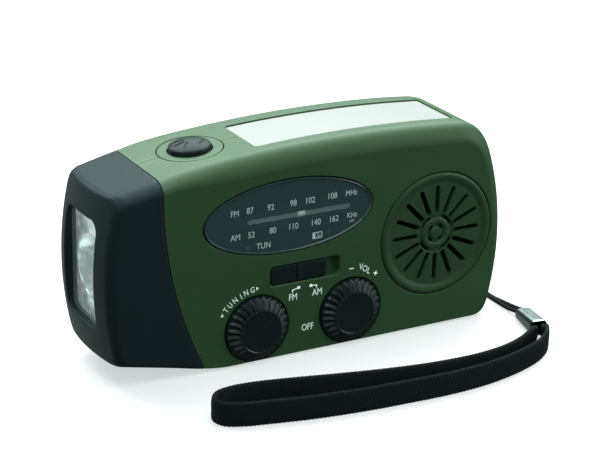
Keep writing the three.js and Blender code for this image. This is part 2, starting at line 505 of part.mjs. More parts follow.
add('crank_disc', cut(join(
  cut(crankAt(CRANK.r, CRANK.frontY, DEPTH, 48), crankAt(CRANK.r - 1.8, 20, lidY, 36)),
  crankAt(3.9, 22.0, 30, 16), crankAt(2.1, 19.2, 23, 14), crankAt(6.4, CRANK.frontY, 35, 18),
  plateY(pocket(1.2), CRANK.frontY, 35, 6).intersect(crankAt(CRANK.r - 0.5, 20, 36, 36)),
  ...[-1, 1].map((side) => join(
    cylinderZ(1.7, -1.2, 1.2, 0, 0, 16).translate([hinge.x, hinge.y, CRANK.z + side * 6.2]),
    box(hinge.x - 1.7, hinge.x + 1.7, DEPTH - 1, hinge.y, CRANK.z + side * 6.2 - 1.2, CRANK.z + side * 6.2 + 1.2)))),
plateY(pocket(0), 25.8, DEPTH + 1, 6),
plateY(roundedRect((gripX - 6 + hinge.x + 2.4) / 2, CRANK.z, hinge.x + 8.4 - gripX, ARM.width + 0.9, 0.6), ARM.y0 - 0.4,
  DEPTH + 1, 3),
cylinderZ(0.95, CRANK.z - 12, CRANK.z + 12, hinge.x, hinge.y, 12),
crankAt(0.9, 18, 22, 10)), 'black');
add('crank_gear_screw', latheY([[0, 20.6], [0.7, 20.6], [0.7, 18.9], [2.6, 18.9], [2.6, 18.2], [1.8, 17.6], [0, 17.6]],
  CRANK.x, CRANK.z, 16), 'steel');
add('crank_hinge_pin', cylinderZ(0.75, CRANK.z - 7.3, CRANK.z + 7.3, hinge.x, hinge.y, 12), 'steel');
const armShape = roundedRect((gripX + hinge.x) / 2, CRANK.z, CRANK.arm + ARM.width, ARM.width, ARM.width / 2 - 0.01);
add('crank_arm', cut(join(
  cut(plateY(armShape, ARM.y0, ARM.y1, 8), box(hinge.x + 0.4, hinge.x + 10, 20, 50, CRANK.z - 9, CRANK.z + 9)),
  cylinderZ(1.7, CRANK.z - 4.5, CRANK.z + 4.5, hinge.x, hinge.y, 16)),
cylinderZ(0.95, CRANK.z - 12, CRANK.z + 12, hinge.x, hinge.y, 12),
cylinderY(1.3, 30, DEPTH - 1, gripX, CRANK.z, 14)), 'black');
add('grip_pin', cylinderY(1.1, 27.2, DEPTH - 1.3, gripX, CRANK.z, 14), 'steel');
add('crank_grip', cut(latheY([[0, GRIP.y0], [CRANK.gripR - 0.7, GRIP.y0], [CRANK.gripR, GRIP.y0 + 0.8],
  [CRANK.gripR - 0.5, (GRIP.y0 + GRIP.y1) / 2], [CRANK.gripR, GRIP.y1], [0, GRIP.y1]], gripX, CRANK.z, 28),
cylinderY(1.3, 26.95, 40, gripX, CRANK.z, 14)), 'black');

// ---- wrist strap -----------------------------------------------------------------------------------------------
const CORD_D = 1.3;
const WEB = { width: 7.5, thickness: 1.5 };
const CLIP = { from: [68.4, -7.0], to: [65.2, -19.6] };
const CORD_ROUTE = [
  [69.3, -6.5, 2.2], [69.6, -1.5, 1.2], [69.3, 4, 0.75], [68.4, 9.5, 0.8], [67.2, 14.5, 2.2], [65.8, 18.2, 5.2],
  [63.4, 20, 7.7], [60.6, 20.2, 8.0], [58.6, 21.2, 8.0], [57.9, 22.6, 8.0], [58.6, 24.0, 8.0], [60.6, 25.0, 8.0],
  [63.6, 25.1, 7.6], [66.2, 22.4, 4.6], [67.6, 17.5, 1.6], [67.9, 12, 0.75], [67.8, 6, 0.75], [67.7, 0, 0.9],
  [67.3, -6.4, 2.0],
];
const WEB_ROUTE = [
  [66.2, -20.0], [63.6, -25.2], [60.3, -30.0], [54.8, -34.2], [47.4, -37.4], [38.5, -39.8], [29, -41.2], [18, -41.5],
  [7, -40.9], [-5, -40.0], [-20.6, -37.8], [-33, -35.0], [-39.8, -33.2], [-44.2, -30.8], [-45.4, -27.4],
  [-43.2, -24.2], [-38.5, -23.0], [-32, -23.4], [-20.4, -25.9], [-8, -29.1], [4.7, -32], [17.8, -34.2], [32.5, -34.9],
  [43, -33.5], [50.5, -30.8], [56.5, -27.3], [60.6, -23.8], [63.4, -20.6],
];
const curveThrough = (points) => new THREE.CatmullRomCurve3(points.map((p) => new THREE.Vector3(...p)), false, 'centripetal');

const cordSection = new THREE.Shape(Array.from({ length: 8 }, (_, i) => new THREE.Vector2(
  CORD_D / 2 * Math.cos(i * TURN / 8), CORD_D / 2 * Math.sin(i * TURN / 8))));
add('strap_cord', solid(new THREE.ExtrudeGeometry(cordSection,
  { extrudePath: curveThrough(CORD_ROUTE), steps: 38, bevelEnabled: false })), 'webbing');

/** The webbing stands on its edge: its plan, a ribbon of even thickness, is extruded upwards. */
function webbing() {
  const route = curveThrough(WEB_ROUTE.map(([x, y]) => [x, y, 0]));
  const steps = 60;
  const sides = [[], []];
  for (let i = 0; i <= steps; i += 1) {
    const p = route.getPointAt(i / steps);
    const t = route.getTangentAt(i / steps);
    const across = new THREE.Vector2(-t.y, t.x).multiplyScalar(WEB.thickness / 2);
    sides[0].push(new THREE.Vector2(p.x, p.y).sub(across));
    sides[1].unshift(new THREE.Vector2(p.x, p.y).add(across));
  }
  return solid(new THREE.ExtrudeGeometry(new THREE.Shape([...sides[0], ...sides[1]]),
    { depth: WEB.width, bevelEnabled: false }));
}
add('strap_webbing', webbing(), 'webbing');

function strapClip() {
  const along = new THREE.Vector2(CLIP.to[0] - CLIP.from[0], CLIP.to[1] - CLIP.from[1]);
  const length = along.length();
  const side = new THREE.Shape();
  side.moveTo(0, 0);
  side.lineTo(length, 0);
  side.lineTo(length, 5.0);
  side.lineTo(0, 3.6);
  return solid(new THREE.ExtrudeGeometry(side, { depth: 5.2, bevelEnabled: false })
    .translate(0, 0, -2.6).rotateX(Math.PI / 2).rotateZ(Math.atan2(along.y, along.x)).translate(...CLIP.from, 0));
}
add('strap_clip', strapClip(), 'steel');

// ---- centre the group on its own depth ---------------------------------------------------------------------------
const strapNodes = ['strap_cord', 'strap_webbing', 'strap_clip'];
const extent = new THREE.Box3();
radio.children.filter((mesh) => !strapNodes.includes(mesh.name)).forEach((mesh) => extent.expandByObject(mesh));
const centre = extent.getCenter(new THREE.Vector3());
radio.position.set(-centre.x, -centre.y, -extent.min.z);
radio.updateMatrixWorld(true);

export default radio;
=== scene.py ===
import math

import bmesh
import bpy
from mathutils import Matrix, Vector


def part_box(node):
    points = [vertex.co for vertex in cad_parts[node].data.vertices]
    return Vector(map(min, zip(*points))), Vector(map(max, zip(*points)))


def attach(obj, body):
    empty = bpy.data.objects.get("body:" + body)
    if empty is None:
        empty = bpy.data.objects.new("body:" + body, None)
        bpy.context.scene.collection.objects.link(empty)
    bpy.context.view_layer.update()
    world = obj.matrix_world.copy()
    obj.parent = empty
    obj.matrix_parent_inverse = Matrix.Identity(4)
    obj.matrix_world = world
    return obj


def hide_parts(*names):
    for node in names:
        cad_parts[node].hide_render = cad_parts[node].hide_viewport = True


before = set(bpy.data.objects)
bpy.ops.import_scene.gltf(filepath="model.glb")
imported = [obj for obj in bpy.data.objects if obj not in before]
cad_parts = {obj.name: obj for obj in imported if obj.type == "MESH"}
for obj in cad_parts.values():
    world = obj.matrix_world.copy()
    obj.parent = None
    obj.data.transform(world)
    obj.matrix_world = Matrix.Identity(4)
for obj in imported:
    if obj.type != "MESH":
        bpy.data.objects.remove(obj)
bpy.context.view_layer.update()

# ---- sizes, in millimetres, laid out from the front face -----------------------------------------
TAU = math.tau
DEPTH, PART_Y, WALL, BAND_Y = 36.0, 17.5, 2.2, 4.6
LEFT_X, RIGHT_X = -65.6, 64.6
HEAD_END = LEFT_X - 2
TOP_APEX_X, TOP_Z, TOP_RADIUS = 14, 63.2, 420
TOP_FALL_X, TOP_FALL = -40, 0.05
END_MIDDLE_Z, END_RADIUS = 25, 80
SEAM_X, SEAM_Z, SEAM_RADIUS = -47, 55, 119
BOW_X, BOW_FROM, BOW_TO, BOW_DEPTH = 4, 34, 66, 2.4
CHIN_X, CHIN_Z, CHIN_RISE, BASE_X = -41, 1.9, 6.0, -26
BULGE_DEEP, BULGE_ACROSS, BULGE_UP, BULGE_Z = 40, 51, 64.5, 30

TUNING, VOLUME = (-18.3, 10.8), (12.0, 10.8)
KNOB_R, KNOB_HOLE_R = 9.7, 3.4
SPEAKER, SPEAKER_R = (40.5, 29.7), 18.7
DIAL, DIAL_A, DIAL_B = (-8.5, 43.2), 26.8, 10.9
SLOT, SLOT_LENGTH, SLOT_HEIGHT = (-3.2, 25.6), 22.4, 5.8
SLIDER_LENGTH = 18.0
CRANK, CRANK_R = (-4.0, 31.5), 25.6
SOLAR = dict(x0=-15.3, x1=49.1, y0=8.0, y1=27.0)
BUTTON_X, BUTTON_R = -31.0, 6.05
SCREWS = [(-41, 47.5), (51.5, 52), (50, 5.2), (-31, 5.4)]
STRAP_HOLES = dict(z=8.0, y=(20.0, 25.2))
LENS_Y, LENS_Z, LENS_WIDE, LENS_HIGH = 17.5, 31.6, 19.4, 31.0
PLATE_X = LEFT_X + 4.7
HINGE_X, ARM_LENGTH, GRIP_R = 13.0, 34.0, 5.0
CORD_D, WEB_WIDE, WEB_THICK = 1.3, 7.5, 1.5

knob_low, knob_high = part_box("tuning_knob")
ORIGIN = Vector(((knob_low.x + knob_high.x) / 2 * 1000 - TUNING[0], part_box("front_shell")[0].y * 1000, 0))


def spot(x, y, z):
    """A point of the layout, in metres in the row's frame."""
    return (Vector((x, y, z)) + ORIGIN) / 1000


def top_z(x):
    """The arched top, which falls a little faster over the flashlight head."""
    return TOP_Z - (x - TOP_APEX_X) ** 2 / (2 * TOP_RADIUS) - TOP_FALL * max(0.0, TOP_FALL_X - x)


def end_x(z):
    return RIGHT_X - (z - END_MIDDLE_Z) ** 2 / (2 * END_RADIUS)


def seam_x(z):
    """Where the flashlight head meets the case: upright above, then sweeping to the right below."""
    if z > SEAM_Z:
        return SEAM_X
    return SEAM_X + SEAM_RADIUS - math.sqrt(SEAM_RADIUS ** 2 - (SEAM_Z - z) ** 2)


def rear_bow(x):
    """How far the rear face bows in towards both ends."""
    return BOW_DEPTH * smooth((abs(x - BOW_X) - BOW_FROM) / (BOW_TO - BOW_FROM))


def bowed(x, y):
    """A depth behind the parting line, drawn forward with the rear face's bow."""
    return y - rear_bow(x) * (y - PART_Y) / (DEPTH - PART_Y) if y > PART_Y else y


def clamp01(t):
    return min(1.0, max(0.0, t))


def smooth(t):
    t = clamp01(t)
    return t * t * (3 - 2 * t)


def mix(a, b, t):
    return a + (b - a) * t


# ---- shader maths --------------------------------------------------------------------------------
class Field:
    """A number that varies over a surface. Python's operators add the Math nodes."""

    def __init__(self, recipe, socket):
        self.recipe, self.socket = recipe, socket

    def _with(self, operation, *values):
        return self.recipe.node("ShaderNodeMath", {"operation": operation}, *values).out()

    def __add__(self, other):
        return self._with("ADD", self, other)

    def __radd__(self, other):
        return self._with("ADD", other, self)

    def __sub__(self, other):
        return self._with("SUBTRACT", self, other)

    def __rsub__(self, other):
        return self._with("SUBTRACT", other, self)

    def __mul__(self, other):
        return self._with("MULTIPLY", self, other)

    def __rmul__(self, other):
        return self._with("MULTIPLY", other, self)

    def __truediv__(self, other):
        return self._with("DIVIDE", self, other)

    def __abs__(self):
        return self._with("ABSOLUTE", self)

    def sine(self):
        return self._with("SINE", self)

    def fraction(self):
        return self._with("FRACT", self)

    def least(self, other):
        return self._with("MINIMUM", self, other)

    def most(self, other):
        return self._with("MAXIMUM", self, other)

    def step(self, low, high):
        """Runs smoothly from 0 at `low` to 1 at `high`."""
        settings = {"clamp": True, "interpolation_type": "SMOOTHSTEP"}
        return self.recipe.node("ShaderNodeMapRange", settings, self, low, high, 0.0, 1.0).out()


class Made:
    """A node just made, from which outputs are taken by name or number."""

    def __init__(self, recipe, node):
        self.recipe, self.node = recipe, node

    def out(self, which=0):
        return Field(self.recipe, self.node.outputs[which])


class Recipe:
    """One finish: a Principled shader and whatever varies over it."""

    def __init__(self, name, **fixed):
        self.material = bpy.data.materials.new(name)
        self.material.use_nodes = True
        self.tree = self.material.node_tree
        self.shader = self.tree.nodes["Principled BSDF"]
        for key, value in fixed.items():
            self.feed(key.replace("_", " "), value)

    def put(self, socket, value):
        """Links a field to a socket, or sets a fixed value on it."""
        if isinstance(value, Field):
            self.tree.links.new(value.socket, socket)
        elif isinstance(value, tuple) and socket.type == "RGBA":
            socket.default_value = (*value, 1)
        else:
            socket.default_value = value

    def feed(self, key, value):
        self.put(self.shader.inputs[key], value)

    def node(self, kind, settings=None, *values, **named):
        made = self.tree.nodes.new(kind)
        for key, value in (settings or {}).items():
            setattr(made, key, value)
        by_name = [(made.inputs[key.replace("_", " ")], value) for key, value in named.items()]
        for socket, value in [*zip(made.inputs, values), *by_name]:
            self.put(socket, value)
        return Made(self, made)

    def place(self):
        return self.node("ShaderNodeTexCoord").out("Object")

    def noise(self, scale, detail=3.0, roughness=0.5, vector=None):
        return self.node("ShaderNodeTexNoise", None, Vector=vector or self.place(), Scale=scale,
                         Detail=detail, Roughness=roughness, Distortion=0.0).out("Fac")

    def normal_axes(self):
        """The surface's direction as three fields."""
        return self.split(self.node("ShaderNodeNewGeometry").out("Normal"))

    def place_axes(self):
        """The place on the piece as three fields, in metres."""
        return self.split(self.place())

    def split(self, vector):
        made = self.node("ShaderNodeSeparateXYZ", None, Vector=vector)
        return made.out(0), made.out(1), made.out(2)

    def blend(self, share, first, second):
        """A colour between two, by a share from 0 to 1."""
        made = self.node("ShaderNodeMix", {"data_type": "RGBA"})
        fac, colour_a, colour_b, result = 0, 6, 7, 2
        for number, value in ((fac, share), (colour_a, first), (colour_b, second)):
            self.put(made.node.inputs[number], value)
        return made.out(result)

    def bump(self, height, strength, distance):
        return self.node("ShaderNodeBump", None, Height=height, Strength=strength, Distance=distance).out()


# ---- finishes ------------------------------------------------------------------------------------
def srgb(*chart):
    """A colour as a paint chart writes it, 0 to 255, as the shader's linear numbers."""
    return tuple(c / 255 / 12.92 if c <= 10 else ((c / 255 + 0.055) / 1.055) ** 2.4 for c in chart)


def shade(colour, factor):
    """A colour made paler or deeper in the same tint."""
    return tuple(min(1, c * factor) for c in colour)


def moulded(name, colour, roughness=0.5, grain=9000.0, depth=0.00002, mottle=0.08, edge=0.16, **fixed):
    """Moulded plastic: a fine grain, slight cloudiness in the colour, and edges handled smoother, with a
    painted highlight that lightens their colour.
    """
    r = Recipe(name, **fixed)
    fine = r.noise(grain, 2.0, 0.6)
    cloud = r.noise(60.0, 4.0, 0.55)
    speck = r.noise(2600.0, 2.0, 0.5)
    wear_and_highlight = r.node("ShaderNodeNewGeometry").out("Pointiness").step(0.505, 0.56)
    deep, pale = shade(colour, 1 - 2.2 * mottle), shade(colour, 1 + 2.2 * mottle)
    base = r.blend(cloud * 0.7 + speck * 0.3, deep, pale)
    # painted highlight: convex edges are lightened towards a paler copy of the colour by the edge share; the
    # same mask smooths them as wear
    r.feed("Base Color", r.blend(wear_and_highlight * edge, base, shade(colour, 1.8)))
    r.feed("Roughness", (roughness + (cloud - 0.5) * 0.12 + (speck - 0.5) * 0.1 - wear_and_highlight * 0.08).most(0.05))
    r.feed("Normal", r.bump(fine, 0.55, depth))
    return r.material


def metal(name, colour, roughness=0.3):
    """Turned metal with fine directional scratches."""
    r = Recipe(name, Metallic=1.0)
    stretched = r.node("ShaderNodeMapping", None, Vector=r.place(), Scale=(300.0, 9000.0, 9000.0))
    lines = r.noise(1.0, 3.0, 0.6, vector=stretched.out())
    smear = r.noise(120.0, 3.0, 0.5)
    r.feed("Base Color", r.blend(lines, shade(colour, 0.86), colour))
    r.feed("Roughness", (roughness + (lines - 0.5) * 0.16 + (smear - 0.5) * 0.14).most(0.04))
    r.feed("Normal", r.bump(lines, 0.25, 0.00001))
    return r.material


GREEN = moulded("moulded_green", srgb(51, 83, 52), 0.5, Specular_IOR_Level=0.4)
GREEN_GRILLE = moulded("moulded_green_grille", srgb(47, 75, 48), 0.52, Specular_IOR_Level=0.4)
BLACK = moulded("satin_black", srgb(29, 41, 45), 0.62, grain=12000.0, depth=0.000012, Specular_IOR_Level=0.18)
# edge=0.8 paints bright highlights along the knob's flute ridges
KNOB = moulded("knob_charcoal", srgb(18, 28, 32), 0.34, grain=14000.0, depth=0.00001, edge=0.8,
               Specular_IOR_Level=0.4)
RUBBER = moulded("button_rubber", srgb(20, 31, 35), 0.48, grain=12000.0, depth=0.00001, edge=0.35,
                 Specular_IOR_Level=0.2)
DIAL_FACE = moulded("dial_face", srgb(50, 68, 71), 0.3, grain=16000.0, depth=0.000006, mottle=0.04,
                    Coat_Weight=0.4, Coat_Roughness=0.12)
REAR_BLACK = moulded("crank_black", srgb(44, 52, 55), 0.44, grain=12000.0, depth=0.000012, edge=0.25)
STEEL = metal("turned_steel", srgb(176, 178, 180), 0.32)


def printed(name, colour, glow=0.0):
    """Pad-printed ink: slightly uneven cover, a faint tooth, and a glow that keeps it legible."""
    r = Recipe(name, Emission_Strength=glow)
    cover = r.noise(5200.0, 3.0, 0.6)
    ink = r.blend(cover.step(0.25, 0.6), shade(colour, 0.85), colour)
    r.feed("Base Color", ink)
    r.feed("Emission Color", ink)
    r.feed("Roughness", 0.45 + (cover - 0.5) * 0.2)
    r.feed("Normal", r.bump(cover, 0.2, 0.000005))
    return r.material


WHITE_INK = printed("white_ink", srgb(236, 246, 242), glow=0.36)
GREY_INK = printed("grey_ink", srgb(182, 200, 200), glow=0.22)
DIM_INK = printed("dim_ink", srgb(76, 90, 92))


def woven(name, colour, across):
    """Tight polyester yarn: fine crossing threads with painted shade in the hollows between them, and a
    little dust mottling the colour.
    """
    r = Recipe(name, Specular_IOR_Level=0.25)
    x, y, z = r.place_axes()
    thread = ((x + y) * across + z * across).sine() * ((x - y) * across - z * across).sine()
    fuzz = r.noise(7000.0, 3.0, 0.7)
    dust = r.noise(90.0, 3.0, 0.5)
    # painted shade: the colour darkens where the thread pattern's bump is low, in the weave's hollows; fuzz
    # and dust vary it at random
    share = thread * 0.25 + fuzz * 0.5 + dust * 0.3
    r.feed("Base Color", r.blend(share, shade(colour, 0.55), colour))
    r.feed("Roughness", (0.85 + (fuzz - 0.5) * 0.2).least(1.0))
    r.feed("Normal", r.bump(thread * 0.5 + fuzz, 0.6, 0.00012))
    return r.material


def sleeve_metal():
    """Plated sleeve: a painted reflection makes its top pale and its sides dark, as if mirroring the bright
    light above and the dark radio beside it.
    """
    r = Recipe("satin_nickel", Metallic=1.0)
    _, _, up = r.normal_axes()
    lines = r.noise(3500.0, 3.0, 0.6)
    smear = r.noise(260.0, 3.0, 0.5)
    # painted reflection: pale where the sleeve faces up, dark on its sides
    painted_reflection = up.step(0.3, 0.95) * (0.88 + lines * 0.2)
    r.feed("Base Color", r.blend(painted_reflection, srgb(26, 32, 35), srgb(186, 200, 198)))
    r.feed("Roughness", (0.3 + (lines - 0.5) * 0.14 + (smear - 0.5) * 0.16).most(0.08))
    r.feed("Normal", r.bump(lines, 0.3, 0.00001))
    return r.material


def plated():
    """Vacuum-plated plastic behind the lens; a faint glow stands in for the light caught inside the head."""
    r = Recipe("mirror_plating", Metallic=0.9, Emission_Strength=0.26)
    ripple = r.noise(420.0, 2.0, 0.5)
    speck = r.noise(5200.0, 2.0, 0.6)
    r.feed("Base Color", r.blend(ripple, srgb(206, 212, 210), srgb(240, 243, 241)))
    r.feed("Emission Color", r.blend(ripple.step(0.35, 0.65), srgb(150, 172, 170), srgb(232, 246, 244)))
    r.feed("Roughness", (0.13 + (speck - 0.5) * 0.1 + (ripple - 0.5) * 0.06).most(0.04))
    r.feed("Normal", r.bump(ripple * 0.8 + speck * 0.2, 0.5, 0.0002))
    return r.material


def clear_cover(name, colour, alpha, roughness):
    """A thin clear moulding that shows what lies behind it."""
    r = Recipe(name, Base_Color=colour, IOR=1.49)
    haze = r.noise(700.0, 3.0, 0.5)
    r.feed("Alpha", (alpha + (haze - 0.5) * 0.06).most(0.02))
    r.feed("Roughness", (roughness + (haze - 0.5) * 0.05).most(0.02))
    r.feed("Normal", r.bump(haze, 0.15, 0.00001))
    return r.material


def panel_glass():
    """Frosted white cover with the cell's strips just showing through."""
    r = Recipe("solar_glazing", Coat_Weight=0.3, Coat_Roughness=0.2)
    x, _, _ = r.place_axes()
    strip = ((x * 1000 / 12.9 + 0.13).fraction() - 0.5)
    line = abs(strip).step(0.485, 0.499)
    cloud = r.noise(45.0, 3.0, 0.5)
    speck = r.noise(4200.0, 2.0, 0.6)
    base = r.blend(cloud, srgb(155, 152, 151), srgb(165, 161, 160))
    r.feed("Base Color", r.blend(line * 0.06, base, srgb(120, 130, 130)))
    r.feed("Roughness", (0.42 + (speck - 0.5) * 0.12 + (cloud - 0.5) * 0.08))
    r.feed("Normal", r.bump(speck, 0.2, 0.00001))
    return r.material


def glow_paint():
    """The pointer's pale paint with a painted glow that stands in for the light its shadowed flag lacks,
    bright enough to read through the smoky strip.
    """
    r = Recipe("pointer_glowing_paint", Emission_Strength=1.5)
    cover = r.noise(4200.0, 3.0, 0.6)
    r.feed("Base Color", r.blend(cover, srgb(190, 200, 190), srgb(226, 232, 222)))
    # painted glow: the emission brightens the flag though it sits in shade behind the strip
    r.feed("Emission Color", r.blend(cover, srgb(150, 165, 155), srgb(190, 204, 194)))
    r.feed("Roughness", 0.5 + (cover - 0.5) * 0.2)
    r.feed("Normal", r.bump(cover, 0.2, 0.00001))
    return r.material


def circuit_board():
    """Green resist over copper tracks."""
    r = Recipe("circuit_board", Coat_Weight=0.3, Coat_Roughness=0.25)
    x, _, z = r.place_axes()
    tracks = (x * 900 + (z * 500).sine() * 0.4).fraction().step(0.3, 0.36)
    cloud = r.noise(300.0, 3.0, 0.5)
    r.feed("Base Color", r.blend(tracks * 0.5 + cloud * 0.3, srgb(20, 66, 40), srgb(56, 118, 68)))
    r.feed("Roughness", 0.45 + (cloud - 0.5) * 0.15)
    r.feed("Normal", r.bump(tracks + cloud * 0.3, 0.3, 0.00003))
    return r.material


def wound_wire():
    """Enamelled copper wound in even turns along X."""
    r = Recipe("wound_wire", Metallic=0.8)
    x, _, _ = r.place_axes()
    turn = (x * TAU / 0.0004).sine()
    patina = r.noise(500.0, 3.0, 0.5)
    r.feed("Base Color", r.blend(turn * 0.25 + patina * 0.6, srgb(110, 58, 30), srgb(204, 124, 72)))
    r.feed("Roughness", 0.35 + (patina - 0.5) * 0.2)
    r.feed("Normal", r.bump(turn, 0.8, 0.00006))
    return r.material


def solar_wafer():
    """Dark blue silicon with thin silver fingers."""
    r = Recipe("solar_wafer", Coat_Weight=0.6, Coat_Roughness=0.08)
    _, y, _ = r.place_axes()
    finger = (y * 1000 / 1.6).fraction().step(0.9, 0.96)
    grain = r.noise(900.0, 2.0, 0.5)
    base = r.blend(grain, srgb(20, 28, 52), srgb(38, 50, 84))
    r.feed("Base Color", r.blend(finger, base, srgb(180, 184, 188)))
    r.feed("Roughness", 0.25 + (grain - 0.5) * 0.1)
    r.feed("Normal", r.bump(grain, 0.1, 0.00001))
    return r.material


MIRROR = plated()
CLIP_METAL = sleeve_metal()
SMOKY = clear_cover("smoky_strip", srgb(146, 166, 168), 0.5, 0.3)
CLEAR = clear_cover("clear_lens", srgb(225, 232, 232), 0.1, 0.05)
SOLAR_GLASS = panel_glass()
POINTER_GLOWING_PAINT = glow_paint()
WEB_CLOTH = woven("strap_webbing_cloth", srgb(22, 31, 35), 9000.0)
CORD_CLOTH = woven("strap_cord_cloth", srgb(20, 28, 32), 12000.0)
NYLON = moulded("white_nylon", srgb(226, 222, 210), 0.5, grain=6000.0, mottle=0.03)
DARK_NYLON = moulded("dark_nylon", srgb(30, 34, 36), 0.6, grain=6000.0)
LED_EPOXY = moulded("led_epoxy", srgb(196, 204, 202), 0.15, grain=900.0, depth=0.0003, mottle=0.3,
                    Coat_Weight=0.8, Coat_Roughness=0.05)
FERRITE = moulded("ferrite", srgb(58, 58, 60), 0.7, grain=5000.0, depth=0.00004)
CONE = moulded("cone_paper", srgb(30, 30, 32), 0.9, grain=3500.0, depth=0.00006)
CELL_WRAP = moulded("cell_wrap", srgb(44, 110, 158), 0.3, grain=1500.0, depth=0.00002, Coat_Weight=0.4)
BOARD = circuit_board()
WIRE = wound_wire()
CELL = solar_wafer()


# ---- meshes --------------------------------------------------------------------------------------
def new_piece(name, points, faces, material, body="case", slot="green_shell", sharp=32, replaces=()):
    """A mesh from layout points in millimetres, riding on a body of the frame."""
    mesh = bpy.data.meshes.new(name)
    mesh.from_pydata([spot(*p) for p in points], [], faces)
    return finish_piece(name, mesh, material, body, sharp, replaces)


def finish_piece(name, mesh, material, body="case", sharp=32, replaces=()):
    mesh.validate()
    piece = bpy.data.objects.new(name, mesh)
    bpy.context.scene.collection.objects.link(piece)
    mesh.materials.clear()
    mesh.materials.append(material)
    polish(piece, sharp)
    if body:
        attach(piece, body)
    if replaces:
        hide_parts(*replaces)
    return piece


def polish(piece, sharp):
    """Smooth shading that keeps edges steeper than `sharp` degrees crisp and flat faces flat."""
    mesh = piece.data
    for polygon in mesh.polygons:
        polygon.use_smooth = True
    mesh.set_sharp_from_angle(angle=math.radians(sharp))
    even = piece.modifiers.new("even_normals", "WEIGHTED_NORMAL")
    even.keep_sharp = True
    even.weight = 60


def loft(rings, around=False):
    """Points and faces of a skin through equal rings: capped at the ends, or joined last to first."""
    count = len(rings[0])
    points = [p for ring in rings for p in ring]
    faces = []
    spans = len(rings) if around else len(rings) - 1
    for i in range(spans):
        a, b = i * count, (i + 1) % len(rings) * count
        for j in range(count):
            k = (j + 1) % count
            faces.append((a + j, a + k, b + k, b + j))
    if not around:
        faces.append(tuple(range(count))[::-1])
        faces.append(tuple((len(rings) - 1) * count + j for j in range(count)))
    return points, faces


def outward(piece):
    """Turns a closed piece right side out."""
    work = bmesh.new()
    work.from_mesh(piece.data)
    bmesh.ops.recalc_face_normals(work, faces=work.faces)
    if work.calc_volume(signed=True) < 0:
        bmesh.ops.reverse_faces(work, faces=work.faces)
    work.to_mesh(piece.data)
    work.free()
    return piece


def body_tool(points, faces):
    """A closed solid used for cutting or joining only."""
    mesh = bpy.data.meshes.new("tool")
    mesh.from_pydata([spot(*p) for p in points], [], faces)
    tool = bpy.data.objects.new("tool", mesh)
    bpy.context.scene.collection.objects.link(tool)
    return outward(tool)


def shape_with(piece, tools, operation="DIFFERENCE"):
    """Cuts, joins or crosses a piece with each tool in turn and throws the tools away."""
    for tool in tools:
        step = piece.modifiers.new("step", "BOOLEAN")
        step.operation, step.solver, step.object = operation, "MANIFOLD", tool
        graph = bpy.context.evaluated_depsgraph_get()
        result = bpy.data.meshes.new_from_object(piece.evaluated_get(graph))
        piece.modifiers.remove(step)
        old, piece.data = piece.data, result
        bpy.data.meshes.remove(old)
        bpy.data.objects.remove(tool)
    return piece


def oval(centre, a, b, count=120):
    """An outline of an oval that can grow."""
    return lambda grow: [(centre[0] + (a + grow) * math.cos(TAU * i / count),
                          centre[1] + (b + grow) * math.sin(TAU * i / count)) for i in range(count)]


def circle(centre, radius, count=72):
    return oval(centre, radius, radius, count)


def rounded(centre, width, height, radius, corner=8, side=4):
    """An outline of a rounded rectangle that can grow; its corners stay concentric."""
    def outline(grow):
        r = max(radius + grow, 0.02)
        w, h = width / 2 + grow - r, height / 2 + grow - r
        points, corners = [], [(1, 1), (-1, 1), (-1, -1), (1, -1)]

        def on_corner(q, turn):
            sx, sy = corners[q % 4]
            return centre[0] + sx * w + r * math.cos(turn), centre[1] + sy * h + r * math.sin(turn)

        for q in range(4):
            points += [on_corner(q, (q + i / corner) * TAU / 4) for i in range(corner + 1)]
            a, b = points[-1], on_corner(q + 1, (q + 1) * TAU / 4)
            points += [(mix(a[0], b[0], i / side), mix(a[1], b[1], i / side)) for i in range(1, side)]
        return points
    return outline


def stack(outline, profile):
    """A solid through copies of an outline: the profile holds (growth, y) pairs from front to back."""
    return loft([[(x, y, z) for x, z in outline(grow)] for grow, y in profile])


def fillet(grow, y, radius, start=0.0, steps=4, outer=True, backward=False):
    """Profile points of a rounded edge, from the face round into the wall or the other way."""
    points = []
    for i in range(steps + 1):
        a = mix(math.radians(start), math.pi / 2, i / steps)
        sideways = radius * (1 - math.sin(a)) * (1 if outer else -1)
        points.append((grow + sideways, y + radius * (1 - math.cos(a))))
    return points[::-1] if backward else points


# ---- the body's skin -----------------------------------------------------------------------------
def bezier(knots, steps):
    """Points along a curve with three or four knots, without its first point."""
    degree = len(knots) - 1
    points = []
    for i in range(1, steps + 1):
        t = i / steps
        weights = [math.comb(degree, k) * t ** k * (1 - t) ** (degree - k) for k in range(degree + 1)]
        points.append(tuple(sum(w * knot[axis] for w, knot in zip(weights, knots)) for axis in (0, 1)))
    return points


